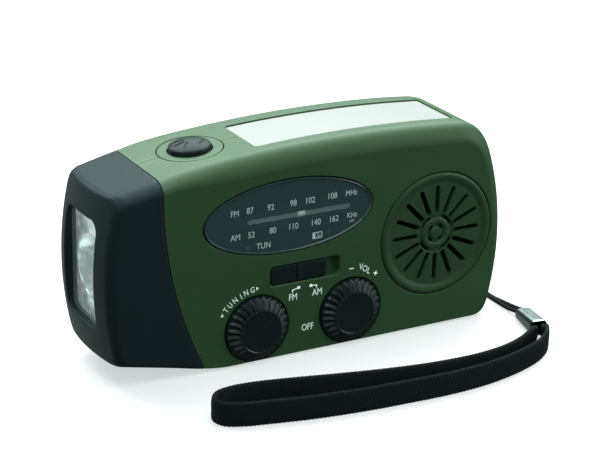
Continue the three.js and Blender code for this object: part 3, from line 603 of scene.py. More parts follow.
def body_outline():
    """The outline at mid depth, anticlockwise from the lower left, evenly spaced."""
    foot_x, foot_z, shoulder_x, shoulder_z = 54.5, 7, 48.5, 50
    chin_bend = ((CHIN_X + BASE_X) / 2, 0)
    path = [(HEAD_END, CHIN_Z + CHIN_RISE), (CHIN_X, CHIN_Z)]
    path += bezier([(CHIN_X, CHIN_Z), chin_bend, (BASE_X, 0)], 24) + [(foot_x, 0)]
    path += bezier([(foot_x, 0), (58.7, 0), (61.3, 1.9), (end_x(foot_z), foot_z)], 24)
    path += [(end_x(z), z) for z in [mix(foot_z, shoulder_z, i / 40) for i in range(1, 41)]]
    path += bezier([(end_x(shoulder_z), shoulder_z), (58.6, 56.8), (55.3, top_z(50) - 0.75),
                    (shoulder_x, top_z(shoulder_x))], 30)
    path += [(x, top_z(x)) for x in [mix(shoulder_x, HEAD_END, i / 90) for i in range(1, 91)]]
    even, walk, gap = [path[0]], 0.0, 0.8
    for a, b in zip(path, path[1:]):
        span = math.dist(a, b)
        while walk + span >= gap:
            t = (gap - walk) / span
            a = (mix(a[0], b[0], t), mix(a[1], b[1], t))
            even.append(a)
            span, walk = math.dist(a, b), 0.0
        walk += span
    return even + [path[-1]]


def band_width(nx, nz, x):
    """How far the faces' outlines stand inside the mid-depth outline."""
    if nz > 0:
        return mix(4.2, 5.5 - 2.4 * smooth((-x - 20) / 35), nz)
    return mix(4.2, 1.0 + 1.2 * smooth((-x - 26) / 19), -nz)


def band_profile(steps=9, squareness=2 / 1.7):
    """The rounded band between a face and the outline, as (depth, share of the band's width) pairs."""
    turns = [i / steps * TAU / 4 for i in range(steps + 1)]
    return [(BAND_Y * (1 - math.cos(a) ** squareness), 1 - math.sin(a) ** squareness) for a in turns]


BAND = band_profile()


def body_solid(inset=0.0):
    """The whole body's form, as one closed skin."""
    outline = body_outline()
    count = len(outline)
    normals = []
    for i in range(count):
        a, b = outline[max(i - 2, 0)], outline[min(i + 2, count - 1)]
        if i == 0 or i == count - 1:
            a, b = outline[(i - 1) % count], outline[(i + 1) % count]
        length = math.dist(a, b)
        normals.append(((b[1] - a[1]) / length, -(b[0] - a[0]) / length))
    straight = [(mix(BAND_Y, DEPTH - BAND_Y, i / 5), 0) for i in range(1, 5)]
    rows = [*BAND, *straight, *[(DEPTH - y, share) for y, share in BAND[::-1]]]
    rings = []
    for y, share in rows:
        ring = []
        for (x, z), (nx, nz) in zip(outline, normals):
            shift = inset + share * band_width(nx, nz, x)
            ring.append((x - nx * shift, mix(inset, DEPTH - inset, bowed(x, y) / DEPTH), z - nz * shift))
        rings.append(ring)
    return loft(rings)


def slab(x0, x1, y0, y1, z0, z1):
    """A plain box."""
    return loft([[(x0, y, z0), (x1, y, z0), (x1, y, z1), (x0, y, z1)] for y in (y0, y1)])


def head_side():
    """Everything on the flashlight's side of the seam."""
    low, high, far = -6, 76, -90
    edge = [(seam_x(z), z) for z in [mix(low, high, i / 90) for i in range(91)]]
    return loft([[(x, y, z) for x, z in [(far, low), *edge, (far, high)]] for y in (-6, DEPTH + 6)])


TILT = math.atan((BUTTON_X - TOP_APEX_X) / TOP_RADIUS)
BUTTON_FRAME = Matrix.Translation((BUTTON_X, PART_Y, top_z(BUTTON_X))) @ Matrix.Rotation(TILT, 4, "Y")


def turned_on_button(profile, count=72, around=False):
    """A turned solid on the button's axis, from (radius, height over the top surface) pairs."""
    rings = [[tuple(BUTTON_FRAME @ Vector((u, v, h))) for u, v in circle((0, 0), r, count)(0)]
             for r, h in profile]
    return loft(rings, around)


def solar_recess():
    """The sunk seat of the solar panel, with softened lips, following the arched top."""
    x0, x1, y0, y1 = SOLAR.values()
    edge = rounded(((x0 + x1) / 2, (y0 + y1) / 2), x1 - x0, y1 - y0, 0.8, 5, 40)
    lip = [(0.55, 3.0), (0.55, 0.05), (0.34, -0.02), (0.25, -0.2), (0.25, -1.5)]
    return loft([[(x, y, top_z(x) + rise) for x, y in edge(grow)] for grow, rise in lip])


def well(outline, depth, soft=0.35, grow=0.0):
    """A recess in the front face with a rounded lip."""
    return stack(outline, [(grow + soft, -2.0), *fillet(grow, 0.0, soft, 12), (grow, depth)])


KNOBS = (TUNING, VOLUME)
SHAFT_HOLE_R, BOSS_R, PILOT_R, SCREW_HEAD_R = 3.4, 3.7, 1.4, 2.9


def front_tools():
    """What is cut from the front half: the rear, and the seats of what sits in the face."""
    seat = [(0.35, -2), *fillet(0, 0, 0.35, 12), (0, 1.2)]
    return [slab(-90, 90, PART_Y - 0.1, 70, -10, 90),
            well(circle(SPEAKER, SPEAKER_R + 0.22, 120), 5),
            well(oval(DIAL, DIAL_A, DIAL_B), 5, 0.3, 0.05),
            *[stack(circle(centre, KNOB_R + 0.45, 96), seat) for centre in KNOBS],
            *[stack(circle(centre, SHAFT_HOLE_R, 32), [(0, 0.6), (0, 5)]) for centre in KNOBS]]


def strap_hole(y):
    """A flared hole in the right end for the strap's cord."""
    z = STRAP_HOLES["z"]
    flare = [(55, 1.3), (end_x(z) - 0.45, 1.3), (end_x(z) - 0.1, 1.5), (end_x(z) + 0.3, 1.9), (70, 1.9)]
    return loft([[(x, u, v) for u, v in circle((y, z), r, 32)(0)] for x, r in flare])


def rear_tools():
    """What is cut from the rear half: the front, the crank's seat, the screw holes and the strap's holes."""
    seat = [(0, 24.1), (0, DEPTH - 0.4), (0.12, DEPTH - 0.12), (0.4, DEPTH + 0.001), (0.4, DEPTH + 2)]
    counterbore = [(0, 31), (0, DEPTH - 0.35), (0.35, DEPTH + 0.001), (0.35, DEPTH + 2)]
    tools = [slab(-90, 90, -30, PART_Y + 0.1, -10, 90),
             stack(circle(CRANK, CRANK_R + 0.5, 144), seat),
             stack(circle(CRANK, 4.4, 48), [(0, 20), (0, 26)])]
    for centre in SCREWS:
        tools.append(stack(circle(centre, SCREW_HEAD_R, 40), counterbore))
        tools.append(stack(circle(centre, PILOT_R, 16), [(0, 10), (0, 40)]))
    return tools + [strap_hole(y) for y in STRAP_HOLES["y"]]


def shell_tools(front):
    """Everything cut from a half shell, its hollow first."""
    tools = [body_solid(WALL), head_side(), solar_recess(),
             turned_on_button([(9.95, 3.0), (9.95, 0.12), (9.7, 0.0), (9.55, -0.18), (9.55, -1.9)]),
             turned_on_button([(3.4, 0.0), (3.4, -6.0)], 24)]
    return tools + (front_tools() if front else rear_tools())


slot_edge = rounded(SLOT, SLOT_LENGTH, SLOT_HEIGHT, 1.3, 8, 6)


def half_shell(name, node, front):
    """One half of the case: the body hollowed, bosses added, then the other half and the seats cut."""
    piece = body_tool(*body_solid())
    extra = []
    if not front:
        extra = [stack(circle(CRANK, CRANK_R + 2.0, 96), [(0, 22.5), (0, DEPTH - 1.5)])]
        extra += [stack(circle(centre, BOSS_R, 24), [(0, PART_Y + 0.15), (0, DEPTH - 1.5)])
                  for centre in SCREWS]
    tools = shell_tools(front)
    shape_with(piece, [body_tool(*tools[0])])
    shape_with(piece, [body_tool(*t) for t in extra], "UNION")
    if front:
        shape_with(piece, [body_tool(*stack(slot_edge, [(1.4, 1.0), (1.4, 3.0)]))], "UNION")
        tools.append(stack(slot_edge, [(0.45, -2.0), *fillet(0.0, 0.0, 0.45, 12), (0.0, 1.7)]))
    shape_with(piece, [body_tool(*t) for t in tools[1:]])
    return finish_piece(name, piece_mesh(piece), GREEN, replaces=(node,))


def piece_mesh(piece):
    """Takes the mesh out of a scratch object and throws the object away."""
    mesh = piece.data
    bpy.data.objects.remove(piece)
    return mesh


def turn_about(outline, centre, angle):
    """An outline drawn at the origin, turned and carried to a place."""
    c, s = math.cos(angle), math.sin(angle)
    return lambda grow: [(centre[0] + u * c - v * s, centre[1] + u * s + v * c) for u, v in outline(grow)]


def turned(profile, centre, count=96, flutes=0, flute_depth=0.0):
    """Rings of a turned piece about a line along Y, from (radius, y, flute share) triples."""
    rings = []
    for r, y, share in [(*p, 0)[:3] for p in profile]:
        ring = []
        for i in range(count):
            hollow = flute_depth * share * math.sin(math.pi * (i * flutes / count % 1)) if flutes else 0.0
            radius = r - 0.74 * hollow
            ring.append((centre[0] + radius * math.cos(TAU * i / count), y + 0.67 * hollow,
                         centre[1] + radius * math.sin(TAU * i / count)))
        rings.append(ring)
    return rings


# ---- case ----------------------------------------------------------------------------------------
half_shell("case_front", "front_shell", True)
half_shell("case_rear", "rear_shell", False)


# ---- flashlight head -----------------------------------------------------------------------------
def bottom_z(x):
    """The underside: flat, then curving up to the head's sloping chin."""
    if x < CHIN_X:
        return CHIN_Z + (CHIN_X - x) * CHIN_RISE / (CHIN_X - HEAD_END)
    return CHIN_Z * ((BASE_X - x) / (BASE_X - CHIN_X)) ** 2 if x < BASE_X else 0.0


def end_surface(y, z):
    """The bulged lens end."""
    reach = 1 - ((y - PART_Y) / BULGE_ACROSS) ** 2 - ((z - BULGE_Z) / BULGE_UP) ** 2
    return LEFT_X + BULGE_DEEP * (1 - math.sqrt(max(0.0, reach)))


FACE_STEPS, TOP_STEPS = 26, 14


def between(steps):
    """Shares that part a side into equal steps, without its ends."""
    return [i / (steps + 1) for i in range(1, steps + 1)]


def head_section(x, inset=0.0):
    """The head's section at x, as (y, z) points: up the front, over the top, down the rear, and forward."""
    high, low = top_z(x), bottom_z(x)
    over, under = band_width(0, 1, x), band_width(0, -1, x)
    rear = [(DEPTH - y, share) for y, share in BAND[::-1]]
    sweep, across = between(FACE_STEPS), between(TOP_STEPS)
    points = [(0.0, mix(low + under, high - over, t)) for t in sweep]
    points += [(y, high - over * share) for y, share in BAND]
    points += [(mix(BAND_Y, DEPTH - BAND_Y, t), high) for t in across]
    points += [(y, high - over * share) for y, share in rear]
    points += [(DEPTH, mix(high - over, low + under, t)) for t in sweep]
    points += [(y, low + under * share) for y, share in rear[::-1]]
    points += [(mix(DEPTH - BAND_Y, BAND_Y, t), low) for t in across]
    points += [(y, low + under * share) for y, share in BAND[::-1]]
    centre, half = (high + low) / 2, (high - low) / 2
    return [(mix(inset, DEPTH - inset, bowed(x, y) / DEPTH), centre + (z - centre) * (1 - inset / half))
            for y, z in points]


def lens_outline(grow, radius=3.4):
    """The lens opening grown by some millimetres, point for point with head_section."""
    r = max(radius + grow, 0.3)
    y0, y1 = LENS_Y - LENS_WIDE / 2 - grow, LENS_Y + LENS_WIDE / 2 + grow
    z0, z1 = LENS_Z - LENS_HIGH / 2 - grow, LENS_Z + LENS_HIGH / 2 + grow
    sweep, across = between(FACE_STEPS), between(TOP_STEPS)
    arc = [i / (len(BAND) - 1) * TAU / 4 for i in range(len(BAND))]
    points = [(y0, mix(z0 + r, z1 - r, t)) for t in sweep]
    points += [(y0 + r - r * math.cos(a), z1 - r + r * math.sin(a)) for a in arc]
    points += [(mix(y0 + r, y1 - r, t), z1) for t in across]
    points += [(y1 - r + r * math.sin(a), z1 - r + r * math.cos(a)) for a in arc]
    points += [(y1, mix(z1 - r, z0 + r, t)) for t in sweep]
    points += [(y1 - r + r * math.cos(a), z0 + r - r * math.sin(a)) for a in arc]
    points += [(mix(y1 - r, y0 + r, t), z0) for t in across]
    points += [(y0 + r - r * math.sin(a), z0 + r - r * math.cos(a)) for a in arc]
    return points


def wall_ring(t, inset=0.0, back=0.0, short=0.0):
    """A ring of the head's wall: t is 0 at the seam and 1 where the wall meets the bulged end."""
    ring = []
    for k in range(len(head_section(-55))):
        x = -50.0
        for _ in range(4):
            y, z = WALL_SECTIONS[inset](x, k)
            x = mix(seam_x(z) - 0.15 - back, end_surface(y, z) + short, t)
        ring.append((x, y, z))
    return ring


class SectionTable:
    """Sections worked out once, at half-millimetre steps, and read by position and point number."""

    START, STEP, COUNT = -68, 0.5, 90

    def __init__(self, inset):
        self.stations = [head_section(self.START + self.STEP * i, inset) for i in range(self.COUNT)]

    def __call__(self, x, k):
        place = min(max((x - self.START) / self.STEP, 0.0), self.COUNT - 1.01)
        i = int(place)
        a, b = self.stations[i][k], self.stations[i + 1][k]
        return mix(a[0], b[0], place - i), mix(a[1], b[1], place - i)


WALL_SECTIONS = {inset: SectionTable(inset) for inset in (0.0, 0.22, WALL)}


def head_housing():
    """The flashlight head: its outer wall, soft front edge, lens opening and inner wall in one skin."""
    edge = wall_ring(1.0)
    count = len(edge)
    # softer along the upright edges than along the top and bottom ones
    soft = []
    for k in range(count):
        _, y0, z0 = edge[(k - 2) % count]
        _, y1, z1 = edge[(k + 2) % count]
        soft.append(mix(1.1, 2.3, abs(z1 - z0) / math.hypot(y1 - y0, z1 - z0)))
    middle_y, middle_z, half_deep, half_high = LENS_Y, 29.6, 17.5, 27

    def drawn_in(share):
        """The wall's edge drawn towards the middle by a share of its softness."""
        ring = []
        for (_, y, z), r in zip(edge, soft):
            ring.append((middle_y + (y - middle_y) * (1 - r * share / half_deep),
                         middle_z + (z - middle_z) * (1 - r * share / half_high)))
        return ring

    rings = [wall_ring(0.0, 0.22), wall_ring(0.0, 0.0, 0.24)]
    for i in range(1, 23):
        whole, cut_short = wall_ring(i / 22, 0.0, 0.24), wall_ring(i / 22, 0.0, 0.24, 2.0)
        rings.append([tuple(mix(a, b, r / 2.0) for a, b in zip(p, q))
                      for p, q, r in zip(whole, cut_short, soft)])
    for i in range(1, 9):
        a = i / 8 * TAU / 4
        rings.append([(end_surface(y, z) + r * (1 - math.sin(a)), y, z)
                      for (y, z), r in zip(drawn_in(1 - math.cos(a)), soft)])
    inner, rim = drawn_in(1.0), lens_outline(0.8)
    for t in (0.3, 0.6, 0.85, 1.0):
        ring = [(mix(a[0], b[0], t), mix(a[1], b[1], t)) for a, b in zip(inner, rim)]
        rings.append([(end_surface(y, z), y, z) for y, z in ring])
    for i in range(1, 6):
        a = i / 5 * TAU / 4
        rings.append([(end_surface(y, z) + 0.7 * (1 - math.cos(a)), y, z)
                      for y, z in lens_outline(0.8 - 0.8 * math.sin(a))])
    rings.append([(PLATE_X - 0.3, y, z) for y, z in lens_outline(0.0)])
    rings.append([(PLATE_X - 0.3, y, z) for y, z in lens_outline(1.3)])
    rings.append([(PLATE_X + 1.3, y, z) for y, z in lens_outline(1.9)])
    rings += [[(max(x, PLATE_X + 1.6), y, z) for x, y, z in wall_ring(t, WALL)]
              for t in (0.85, 0.6, 0.3, 0.0)]
    new_piece("head_housing", *loft(rings, around=True), BLACK, "case", "black_satin", 50,
              ("flashlight_head",))


head_housing()


def reflector_bowl():
    """The plated panel behind the lens with its round bowl, one thin closed skin."""
    turns = [math.atan2(z - LENS_Z, y - LENS_Y) for y, z in lens_outline(0)]
    centre_z, bowl_r, bowl_deep, curve = LENS_Z - 0.6, 9.0, 8.2, 12.6

    def ring(r, x):
        return [(x, LENS_Y + r * math.cos(a), centre_z + r * math.sin(a)) for a in turns]

    def bowl_radius(depth):
        return bowl_r * math.sqrt(1 - (depth / curve) ** 2)

    panel = [[(x, y, z) for y, z in lens_outline(grow)] for x, grow in
             [(PLATE_X + 1.1, 1.1), (PLATE_X + 0.15, 1.1), (PLATE_X, 0.95)]]
    last, rim = panel[-1], ring(9.75, PLATE_X)
    panel += [[(PLATE_X, mix(a[1], b[1], t), mix(a[2], b[2], t)) for a, b in zip(last, rim)]
              for t in (0.35, 0.7, 1.0)]
    bowl = [ring(9.55, PLATE_X - 0.22), ring(9.3, PLATE_X - 0.3), ring(9.08, PLATE_X - 0.15)]
    bowl += [ring(bowl_radius(d), PLATE_X + d) for d in [bowl_deep * i / 14 for i in range(15)]]
    outer = [ring(bowl_radius(d) + 0.6, PLATE_X + d + 0.01) for d in (bowl_deep, 5.5, 3.0, 1.6, 1.1)]
    new_piece("reflector_bowl", *loft(panel + bowl + outer, around=True), MIRROR, "case",
              "mirror_plating", 40, ("reflector",))


reflector_bowl()

# ---- loudspeaker grille --------------------------------------------------------------------------
def ring_slot(radius, width, middle, reach):
    """A curved slot round the loudspeaker's middle."""
    spread = [middle + reach * (j / 5 - 1) for j in range(11)]

    def outline(grow):
        outer, inner = radius + width / 2 + grow, radius - width / 2 - grow
        return [(SPEAKER[0] + r * math.cos(a), SPEAKER[1] + r * math.sin(a))
                for r, turns in ((outer, spread), (inner, spread[::-1])) for a in turns]

    return outline


def grille():
    """The loudspeaker's cover: a low rolled rim, sixteen slots, and two slotted rings round a button."""
    R, face = SPEAKER_R, 0.26
    rim = [(R, 1.9), (R, 0.3), (R - 0.1, 0.0), (R - 0.35, -0.2), (R - 0.8, -0.34), (R - 1.3, -0.32),
           (R - 1.8, -0.2), (R - 2.3, 0.0), (R - 2.65, 0.15), (R - 2.85, 0.23), (R - 3.1, face)]
    middle = [(12.0, face), (7.0, face), (6.1, face), (5.9, 0.32), (5.8, 0.62), (4.85, 0.62),
              (4.7, 0.3), (4.5, 0.16), (3.9, 0.12), (3.35, 0.16), (3.15, 0.34), (3.0, 0.72),
              (1.95, 0.72), (1.8, 0.36), (1.6, 0.18), (0.8, 0.12)]
    plate = body_tool(*loft(turned(rim + middle, SPEAKER, 180)))
    slots = 16
    for i in range(slots):
        edge = turn_about(rounded((0.56 * R, 0), 0.46 * R, 1.4, 0.68, 5, 6), SPEAKER, i / slots * TAU)
        shape_with(plate, [body_tool(*well(edge, 4.0, 0.5))])
    for radius, width, reach in ((5.35, 0.85, 0.40), (2.45, 0.75, 0.34)):
        for i in range(4):
            arc = ring_slot(radius, width, (i + 0.5) * TAU / 4, reach)
            shape_with(plate, [body_tool(*stack(arc, [(0, -1), (0, 4)]))])
    finish_piece("grille_disc", piece_mesh(plate), GREEN_GRILLE, "case", 34,
                 ("speaker_grille",))


grille()

# ---- knobs ---------------------------------------------------------------------------------------
def knob(name, centre, node, body, shaft_end):
    """A knob with fluted shoulders and a slightly dished face, on its shaft."""
    flutes, steps = 27, 9
    shoulder = [(mix(9.35, 7.0, i / steps), mix(-0.5, -2.5, (i / steps) ** 0.8),
                 mix(0.55, 1.0, min(1, i / 3))) for i in range(steps + 1)]
    profile = [(3, shaft_end, 0), (3, 0.9, 0), (9.5, 0.9, 0), (9.7, 0.7, 0), (9.7, -0.02, 0),
               (9.62, -0.2, 0),
               (9.5, -0.3, 0.2), *shoulder, (6.85, -2.62, 0.8), (6.7, -2.7, 0.5), (6.5, -2.72, 0.2),
               (6.25, -2.68, 0), (6.05, -2.55, 0), (5.0, -2.51, 0), (4.0, -2.48, 0), (3.0, -2.45, 0),
               (2.0, -2.42, 0), (1.0, -2.4, 0), (0.3, -2.4, 0)]
    rings = turned(profile, centre, flutes * 12, flutes, 0.75)
    new_piece(name, *loft(rings), KNOB, body, "black_matte", 24, (node,))


knob("tuning_dial_knob", TUNING, "tuning_knob", "tuning", 12)
knob("volume_dial_knob", VOLUME, "volume_knob", "volume", 7)

# ---- dial ----------------------------------------------------------------------------------------
BAR_Z = 43.15
BAR = rounded((-5.3, BAR_Z), 33.0, 1.75, 0.86, 8, 10)


def dial():
    """The dial's plate with its thin rim, the smoky strip in it, and the pointer's flag behind the strip."""
    rim = [(-0.25, 1.6), (-0.25, -0.02), (-0.3, -0.14), (-0.42, -0.22), (-0.56, -0.2), (-0.68, -0.08),
           (-0.78, 0.05), (-0.9, 0.1)]
    plate = body_tool(*stack(oval(DIAL, DIAL_A, DIAL_B, 180), rim))
    shape_with(plate, [body_tool(*well(BAR, 3.0, 0.12))])
    shape_with(plate, [body_tool(*stack(BAR, [(0.0, -1.0), (0.0, 0.15), (0.0, 3.0)]))])
    finish_piece("dial_plate", piece_mesh(plate), DIAL_FACE, "case", 30, ("dial_window",))
    new_piece("dial_bar", *stack(BAR, [(-0.1, 1.3), (-0.1, 0.3), (-0.16, 0.22)]), SMOKY, "case", "dial", 40)
    flag = stack(rounded((-3.85, BAR_Z), 2.3, 1.9, 0.1, 2, 1), [(-0.02, 2.0), (-0.02, 1.78), (-0.08, 1.72)])
    new_piece("pointer_flag", *flag, POINTER_GLOWING_PAINT, "pointer", "nylon", 40)


dial()


INK = 0.03


def lettering(marks, y_face, squash=0.86):
    """Printed characters as one mesh: marks hold (text, x, z, height, angle) at the middle of each word."""
    points, faces = [], []
    for text, x, z, height, angle in marks:
        data = bpy.data.curves.new("ink", "FONT")
        data.body, data.size, data.extrude, data.resolution_u = text, 1.0, 0.5, 3
        data.align_x, data.align_y = "CENTER", "CENTER"
        scratch = bpy.data.objects.new("ink", data)
        bpy.context.scene.collection.objects.link(scratch)
        graph = bpy.context.evaluated_depsgraph_get()
        mesh = bpy.data.meshes.new_from_object(scratch.evaluated_get(graph))
        us = [v.co.x for v in mesh.vertices]
        vs = [v.co.y for v in mesh.vertices]
        mid_u, mid_v = (min(us) + max(us)) / 2, (min(vs) + max(vs)) / 2
        scale = height / (max(vs) - min(vs))
        c, s, base = math.cos(angle), math.sin(angle), len(points)
        for v in mesh.vertices:
            u, w = (v.co.x - mid_u) * scale * squash, (v.co.y - mid_v) * scale
            points.append((x + u * c - w * s, y_face - INK * (v.co.z + 0.5), z + u * s + w * c))
        faces += [tuple(base + i for i in p.vertices) for p in mesh.polygons]
        bpy.data.objects.remove(scratch)
        bpy.data.meshes.remove(mesh)
    return points, faces


def strokes(parts, y_face):
    """Printed shapes as thin prisms from closed (x, z) outlines."""
    points, faces = [], []
    for outline in parts:
        base, n = len(points), len(outline)
        points += [(x, y, z) for y in (y_face - INK, y_face) for x, z in outline]
        faces.append(tuple(base + i for i in range(n)))
        faces.append(tuple(base + n + i for i in range(n))[::-1])
        faces += [(base + i, base + (i + 1) % n, base + n + (i + 1) % n, base + n + i) for i in range(n)]
    return points, faces


def bar_from(a, b, width):
    """A straight printed stroke."""
    dx, dz = b[0] - a[0], b[1] - a[1]
    length = math.hypot(dx, dz)
    nx, nz = -dz / length * width / 2, dx / length * width / 2
    return [(a[0] + nx, a[1] + nz), (b[0] + nx, b[1] + nz), (b[0] - nx, b[1] - nz), (a[0] - nx, a[1] - nz)]


def spot_at(centre, radius):
    """A round printed spot."""
    return circle(centre, radius, 20)(0)


def merged(*parts):
    """Several (points, faces) pairs as one."""
    points, faces = [], []
    for p, f in parts:
        faces += [tuple(len(points) + i for i in face) for face in f]
        points += p
    return points, faces


def dial_print():
    """The two scales, the battery mark and the lamps' dots on the dial."""
    top_row = [("87", -21.0, 46.7), ("92", -14.6, 46.7), ("98", -7.5, 46.8), ("102", -2.0, 46.8),
               ("108", 5.1, 47.0)]
    low_row = [("52", -20.5, 39.5), ("80", -13.8, 39.7), ("110", -7.2, 39.9), ("140", 0.0, 39.9),
               ("162", 5.8, 40.0)]
    words = [("FM", -25.7, 46.5, 1.7), ("MHz", 11.2, 47.0, 1.6), ("AM", -25.5, 39.5, 1.7),
             ("KHz", 11.7, 40.2, 1.5), ("x10", 11.5, 38.5, 0.85), ("TUN", -16.7, 35.7, 1.75)]
    marks = [(text, x, z, 1.8, 0.0) for text, x, z in top_row + low_row]
    marks += [(text, x, z, height, 0.0) for text, x, z, height in words]
    face = 0.1
    # a battery with its left third filled, and a small mark inside
    x, z, w, h = 0.4, 35.9, 3.0, 1.7
    left, right, low, high = x - w / 2, x + w / 2, z - h / 2, z + h / 2
    battery = [bar_from((left, high), (right, high), 0.24), bar_from((left, low), (right, low), 0.24),
               bar_from((right, low), (right, high), 0.24),
               bar_from((left + 0.45, low), (left + 0.45, high), 0.95),
               bar_from((x + 0.25, z + 0.55), (x + 0.25, z - 0.55), 0.22),
               bar_from((x + 0.25, z - 0.55), (x + 1.2, z - 0.2), 0.2)]
    scales = merged(lettering(marks, face), strokes(battery, face))
    new_piece("dial_print", *scales, GREY_INK, "case", "dial", 60)
    dots = strokes([spot_at((-21.6, 35.8), 0.55), spot_at((4.1, 36.3), 0.55)], face)
    new_piece("dial_lamp_dots", *dots, DIM_INK, "case", "dial", 60)


dial_print()


def front_print():
    """The words, arrows and signs round the controls."""
    face = 0.0
    volume = [("V", 15.11, 23.77, 1.9, -0.15), ("O", 16.48, 22.97, 1.9, -0.2), ("L", 17.85, 22.1, 1.9, -0.3)]
    tuning = [("T", -28.2, 18.3, 1.75, 0.87), ("U", -26.96, 19.57, 1.75, 0.75),
              ("N", -25.42, 20.79, 1.75, 0.6), ("I", -23.56, 21.65, 1.75, 0.45),
              ("N", -22.0, 22.42, 1.75, 0.3), ("G", -19.97, 22.95, 1.75, 0.13)]
    words = [("FM", -7.0, 18.4, 2.0, 0.0), ("AM", 0.78, 18.64, 2.0, 0.0), ("OFF", -2.04, 8.31, 2.0, 0.0)]
    arrows = [bar_from((-7.21, 19.7), (-7.21, 20.6), 0.3), bar_from((-7.3, 20.5), (-5.3, 20.95), 0.3),
              spot_at((-5.2, 21.0), 0.5), spot_at((-1.3, 20.87), 0.5),
              bar_from((-1.2, 20.9), (0.7, 20.7), 0.3),
              bar_from((0.57, 20.8), (0.57, 19.9), 0.3),
              bar_from((11.2, 23.75), (12.7, 23.65), 0.32), bar_from((19.4, 21.15), (20.75, 20.6), 0.32),
              bar_from((19.85, 20.2), (20.3, 21.5), 0.32),
              [(-29.9, 16.5), (-28.95, 16.55), (-29.3, 17.5)],
              [(-18.75, 22.55), (-18.0, 23.15), (-18.85, 23.7)]]
    print_parts = lettering(volume + tuning + words, face, squash=0.78), strokes(arrows, face)
    new_piece("front_print", *merged(*print_parts), WHITE_INK, "case", "green_shell", 60)


front_print()

# ---- band switch ---------------------------------------------------------------------------------
def slider():
    """The band switch's bar in its slot, with one groove across."""
    start = SLOT[0] - SLOT_LENGTH / 2 + 0.2
    middle = (start + SLIDER_LENGTH / 2, SLOT[1])
    edge = rounded(middle, SLIDER_LENGTH, SLOT_HEIGHT - 0.4, 1.1, 8, 8)
    bar = body_tool(*stack(edge, [(-0.1, 1.4), (0, 1.3), *fillet(0, 0.22, 0.5, 5, 6, False, True)]))
    tongue = slab(SLOT[0] - 3.6, SLOT[0] - 0.4, 1.0, 3.4, SLOT[1] - 1.1, SLOT[1] + 1.1)
    shape_with(bar, [body_tool(*tongue)], "UNION")
    groove = rounded((-5.8, SLOT[1]), 0.34, 8.0, 0.1, 2, 1)
    shape_with(bar, [body_tool(*well(groove, 0.62, 0.16, 0.0))])
    finish_piece("slider_bar", piece_mesh(bar), RUBBER, "band", 30, ("band_slider",))


slider()

# ---- light button --------------------------------------------------------------------------------
def button():
    """The domed cap, with a lamp mark sunk in it."""
    rays = [((-1.3, 0.9), (-3.4, 2.3)), ((-1.7, -0.2), (-4.2, -0.3)), ((-1.2, -1.2), (-2.9, -3.1))]

    bulb_u, bulb_r, bulb_sweep, groove_deep = 0.6, 3.3, 1.25, 0.3

    def sunk(u, v):
        """How deep the lamp mark is at a place on the cap."""
        reach = 9.0
        for (au, av), (bu, bv) in rays:
            t = clamp01(((u - au) * (bu - au) + (v - av) * (bv - av)) / ((bu - au) ** 2 + (bv - av) ** 2))
            reach = min(reach, math.hypot(u - mix(au, bu, t), v - mix(av, bv, t)))
        if abs(math.atan2(v, u - bulb_u)) < bulb_sweep:
            reach = min(reach, abs(math.hypot(u - bulb_u, v) - bulb_r))
        return groove_deep * (1 - smooth((reach - 0.12) / 0.28))

    def ring(r, h):
        points = []
        for u, v in circle((0, 0), r, 200)(0):
            depth = sunk(u, v) if h > 1.4 and r < 5.3 else 0.0
            points.append(tuple(BUTTON_FRAME @ Vector((u, v, h - depth))))
        return points

    side = [(1.3, -3.6), (1.3, -0.4), (5.95, -0.4), (6.05, -0.3), (6.05, 0.7), (6.0, 0.95), (5.86, 1.15),
            (5.6, 1.3), (5.4, 1.42)]
    steps, crown_r, crown_low, crown_high = 34, 5.4, 1.42, 1.1
    shrink = [crown_r * (1 - i / (steps + 0.5)) for i in range(1, steps + 1)]
    crown = [(r, crown_low + crown_high * (1 - (r / crown_r) ** 2.2)) for r in shrink]
    rings = [ring(r, h) for r, h in side + crown]
    new_piece("button_cap", *loft(rings), RUBBER, "light", "black_matte", 40, ("light_button",))
    collar = [(6.42, -1.75), (9.3, -1.75), (9.3, -0.22), (9.18, -0.06), (8.9, -0.02), (6.75, -0.02),
              (6.5, -0.1), (6.42, -0.3)]
    new_piece("button_collar", *turned_on_button(collar, 120, True), GREEN, "case", "green_shell", 34,
              ("button_bezel",))


button()

# ---- solar panel ---------------------------------------------------------------------------------
def solar():
    """The frosted cover over the cell, following the arched top."""
    x0, x1, y0, y1 = SOLAR.values()
    low, high, soft = -0.95, -0.4, 0.16
    rings = []
    places = [(x0, soft), (x0 + 0.05, 0.05), (x0 + soft, 0.0)]
    places += [(mix(x0 + soft, x1 - soft, i / 60), 0.0) for i in range(1, 60)]
    places += [(x1 - soft, 0.0), (x1 - 0.05, 0.05), (x1, soft)]
    for x, drop in places:
        top = top_z(x) + high - drop
        under = top_z(x) + low
        rings.append([(x, y0, under), (x, y1, under), (x, y1, top - soft), (x, y1 - 0.05, top - 0.05),
                      (x, y1 - soft, top), (x, y0 + soft, top), (x, y0 + 0.05, top - 0.05),
                      (x, y0, top - soft)])
    new_piece("solar_glazing", *loft(rings), SOLAR_GLASS, "case", "solar_cover", 40, ("solar_cover",))


solar()

# ---- crank ---------------------------------------------------------------------------------------
HINGE_Y, PIN_HOLE_R, KNUCKLE_R, CRANK_FLOOR, POCKET_FLOOR = DEPTH + 0.4, 0.95, 1.7, 24.4, 25.8
ARM_LOW, ARM_HIGH = DEPTH - 2.6, DEPTH - 0.05
GRIP_X = HINGE_X - ARM_LENGTH


def rear_well(outline, floor, soft=0.4):
    """A recess in the rear with a rounded lip."""
    lip = [(r, DEPTH - y) for r, y in fillet(0.0, 0.0, soft, 12, 4, True, True)]
    return stack(outline, [(0.0, floor), *lip, (soft, DEPTH + 3)])


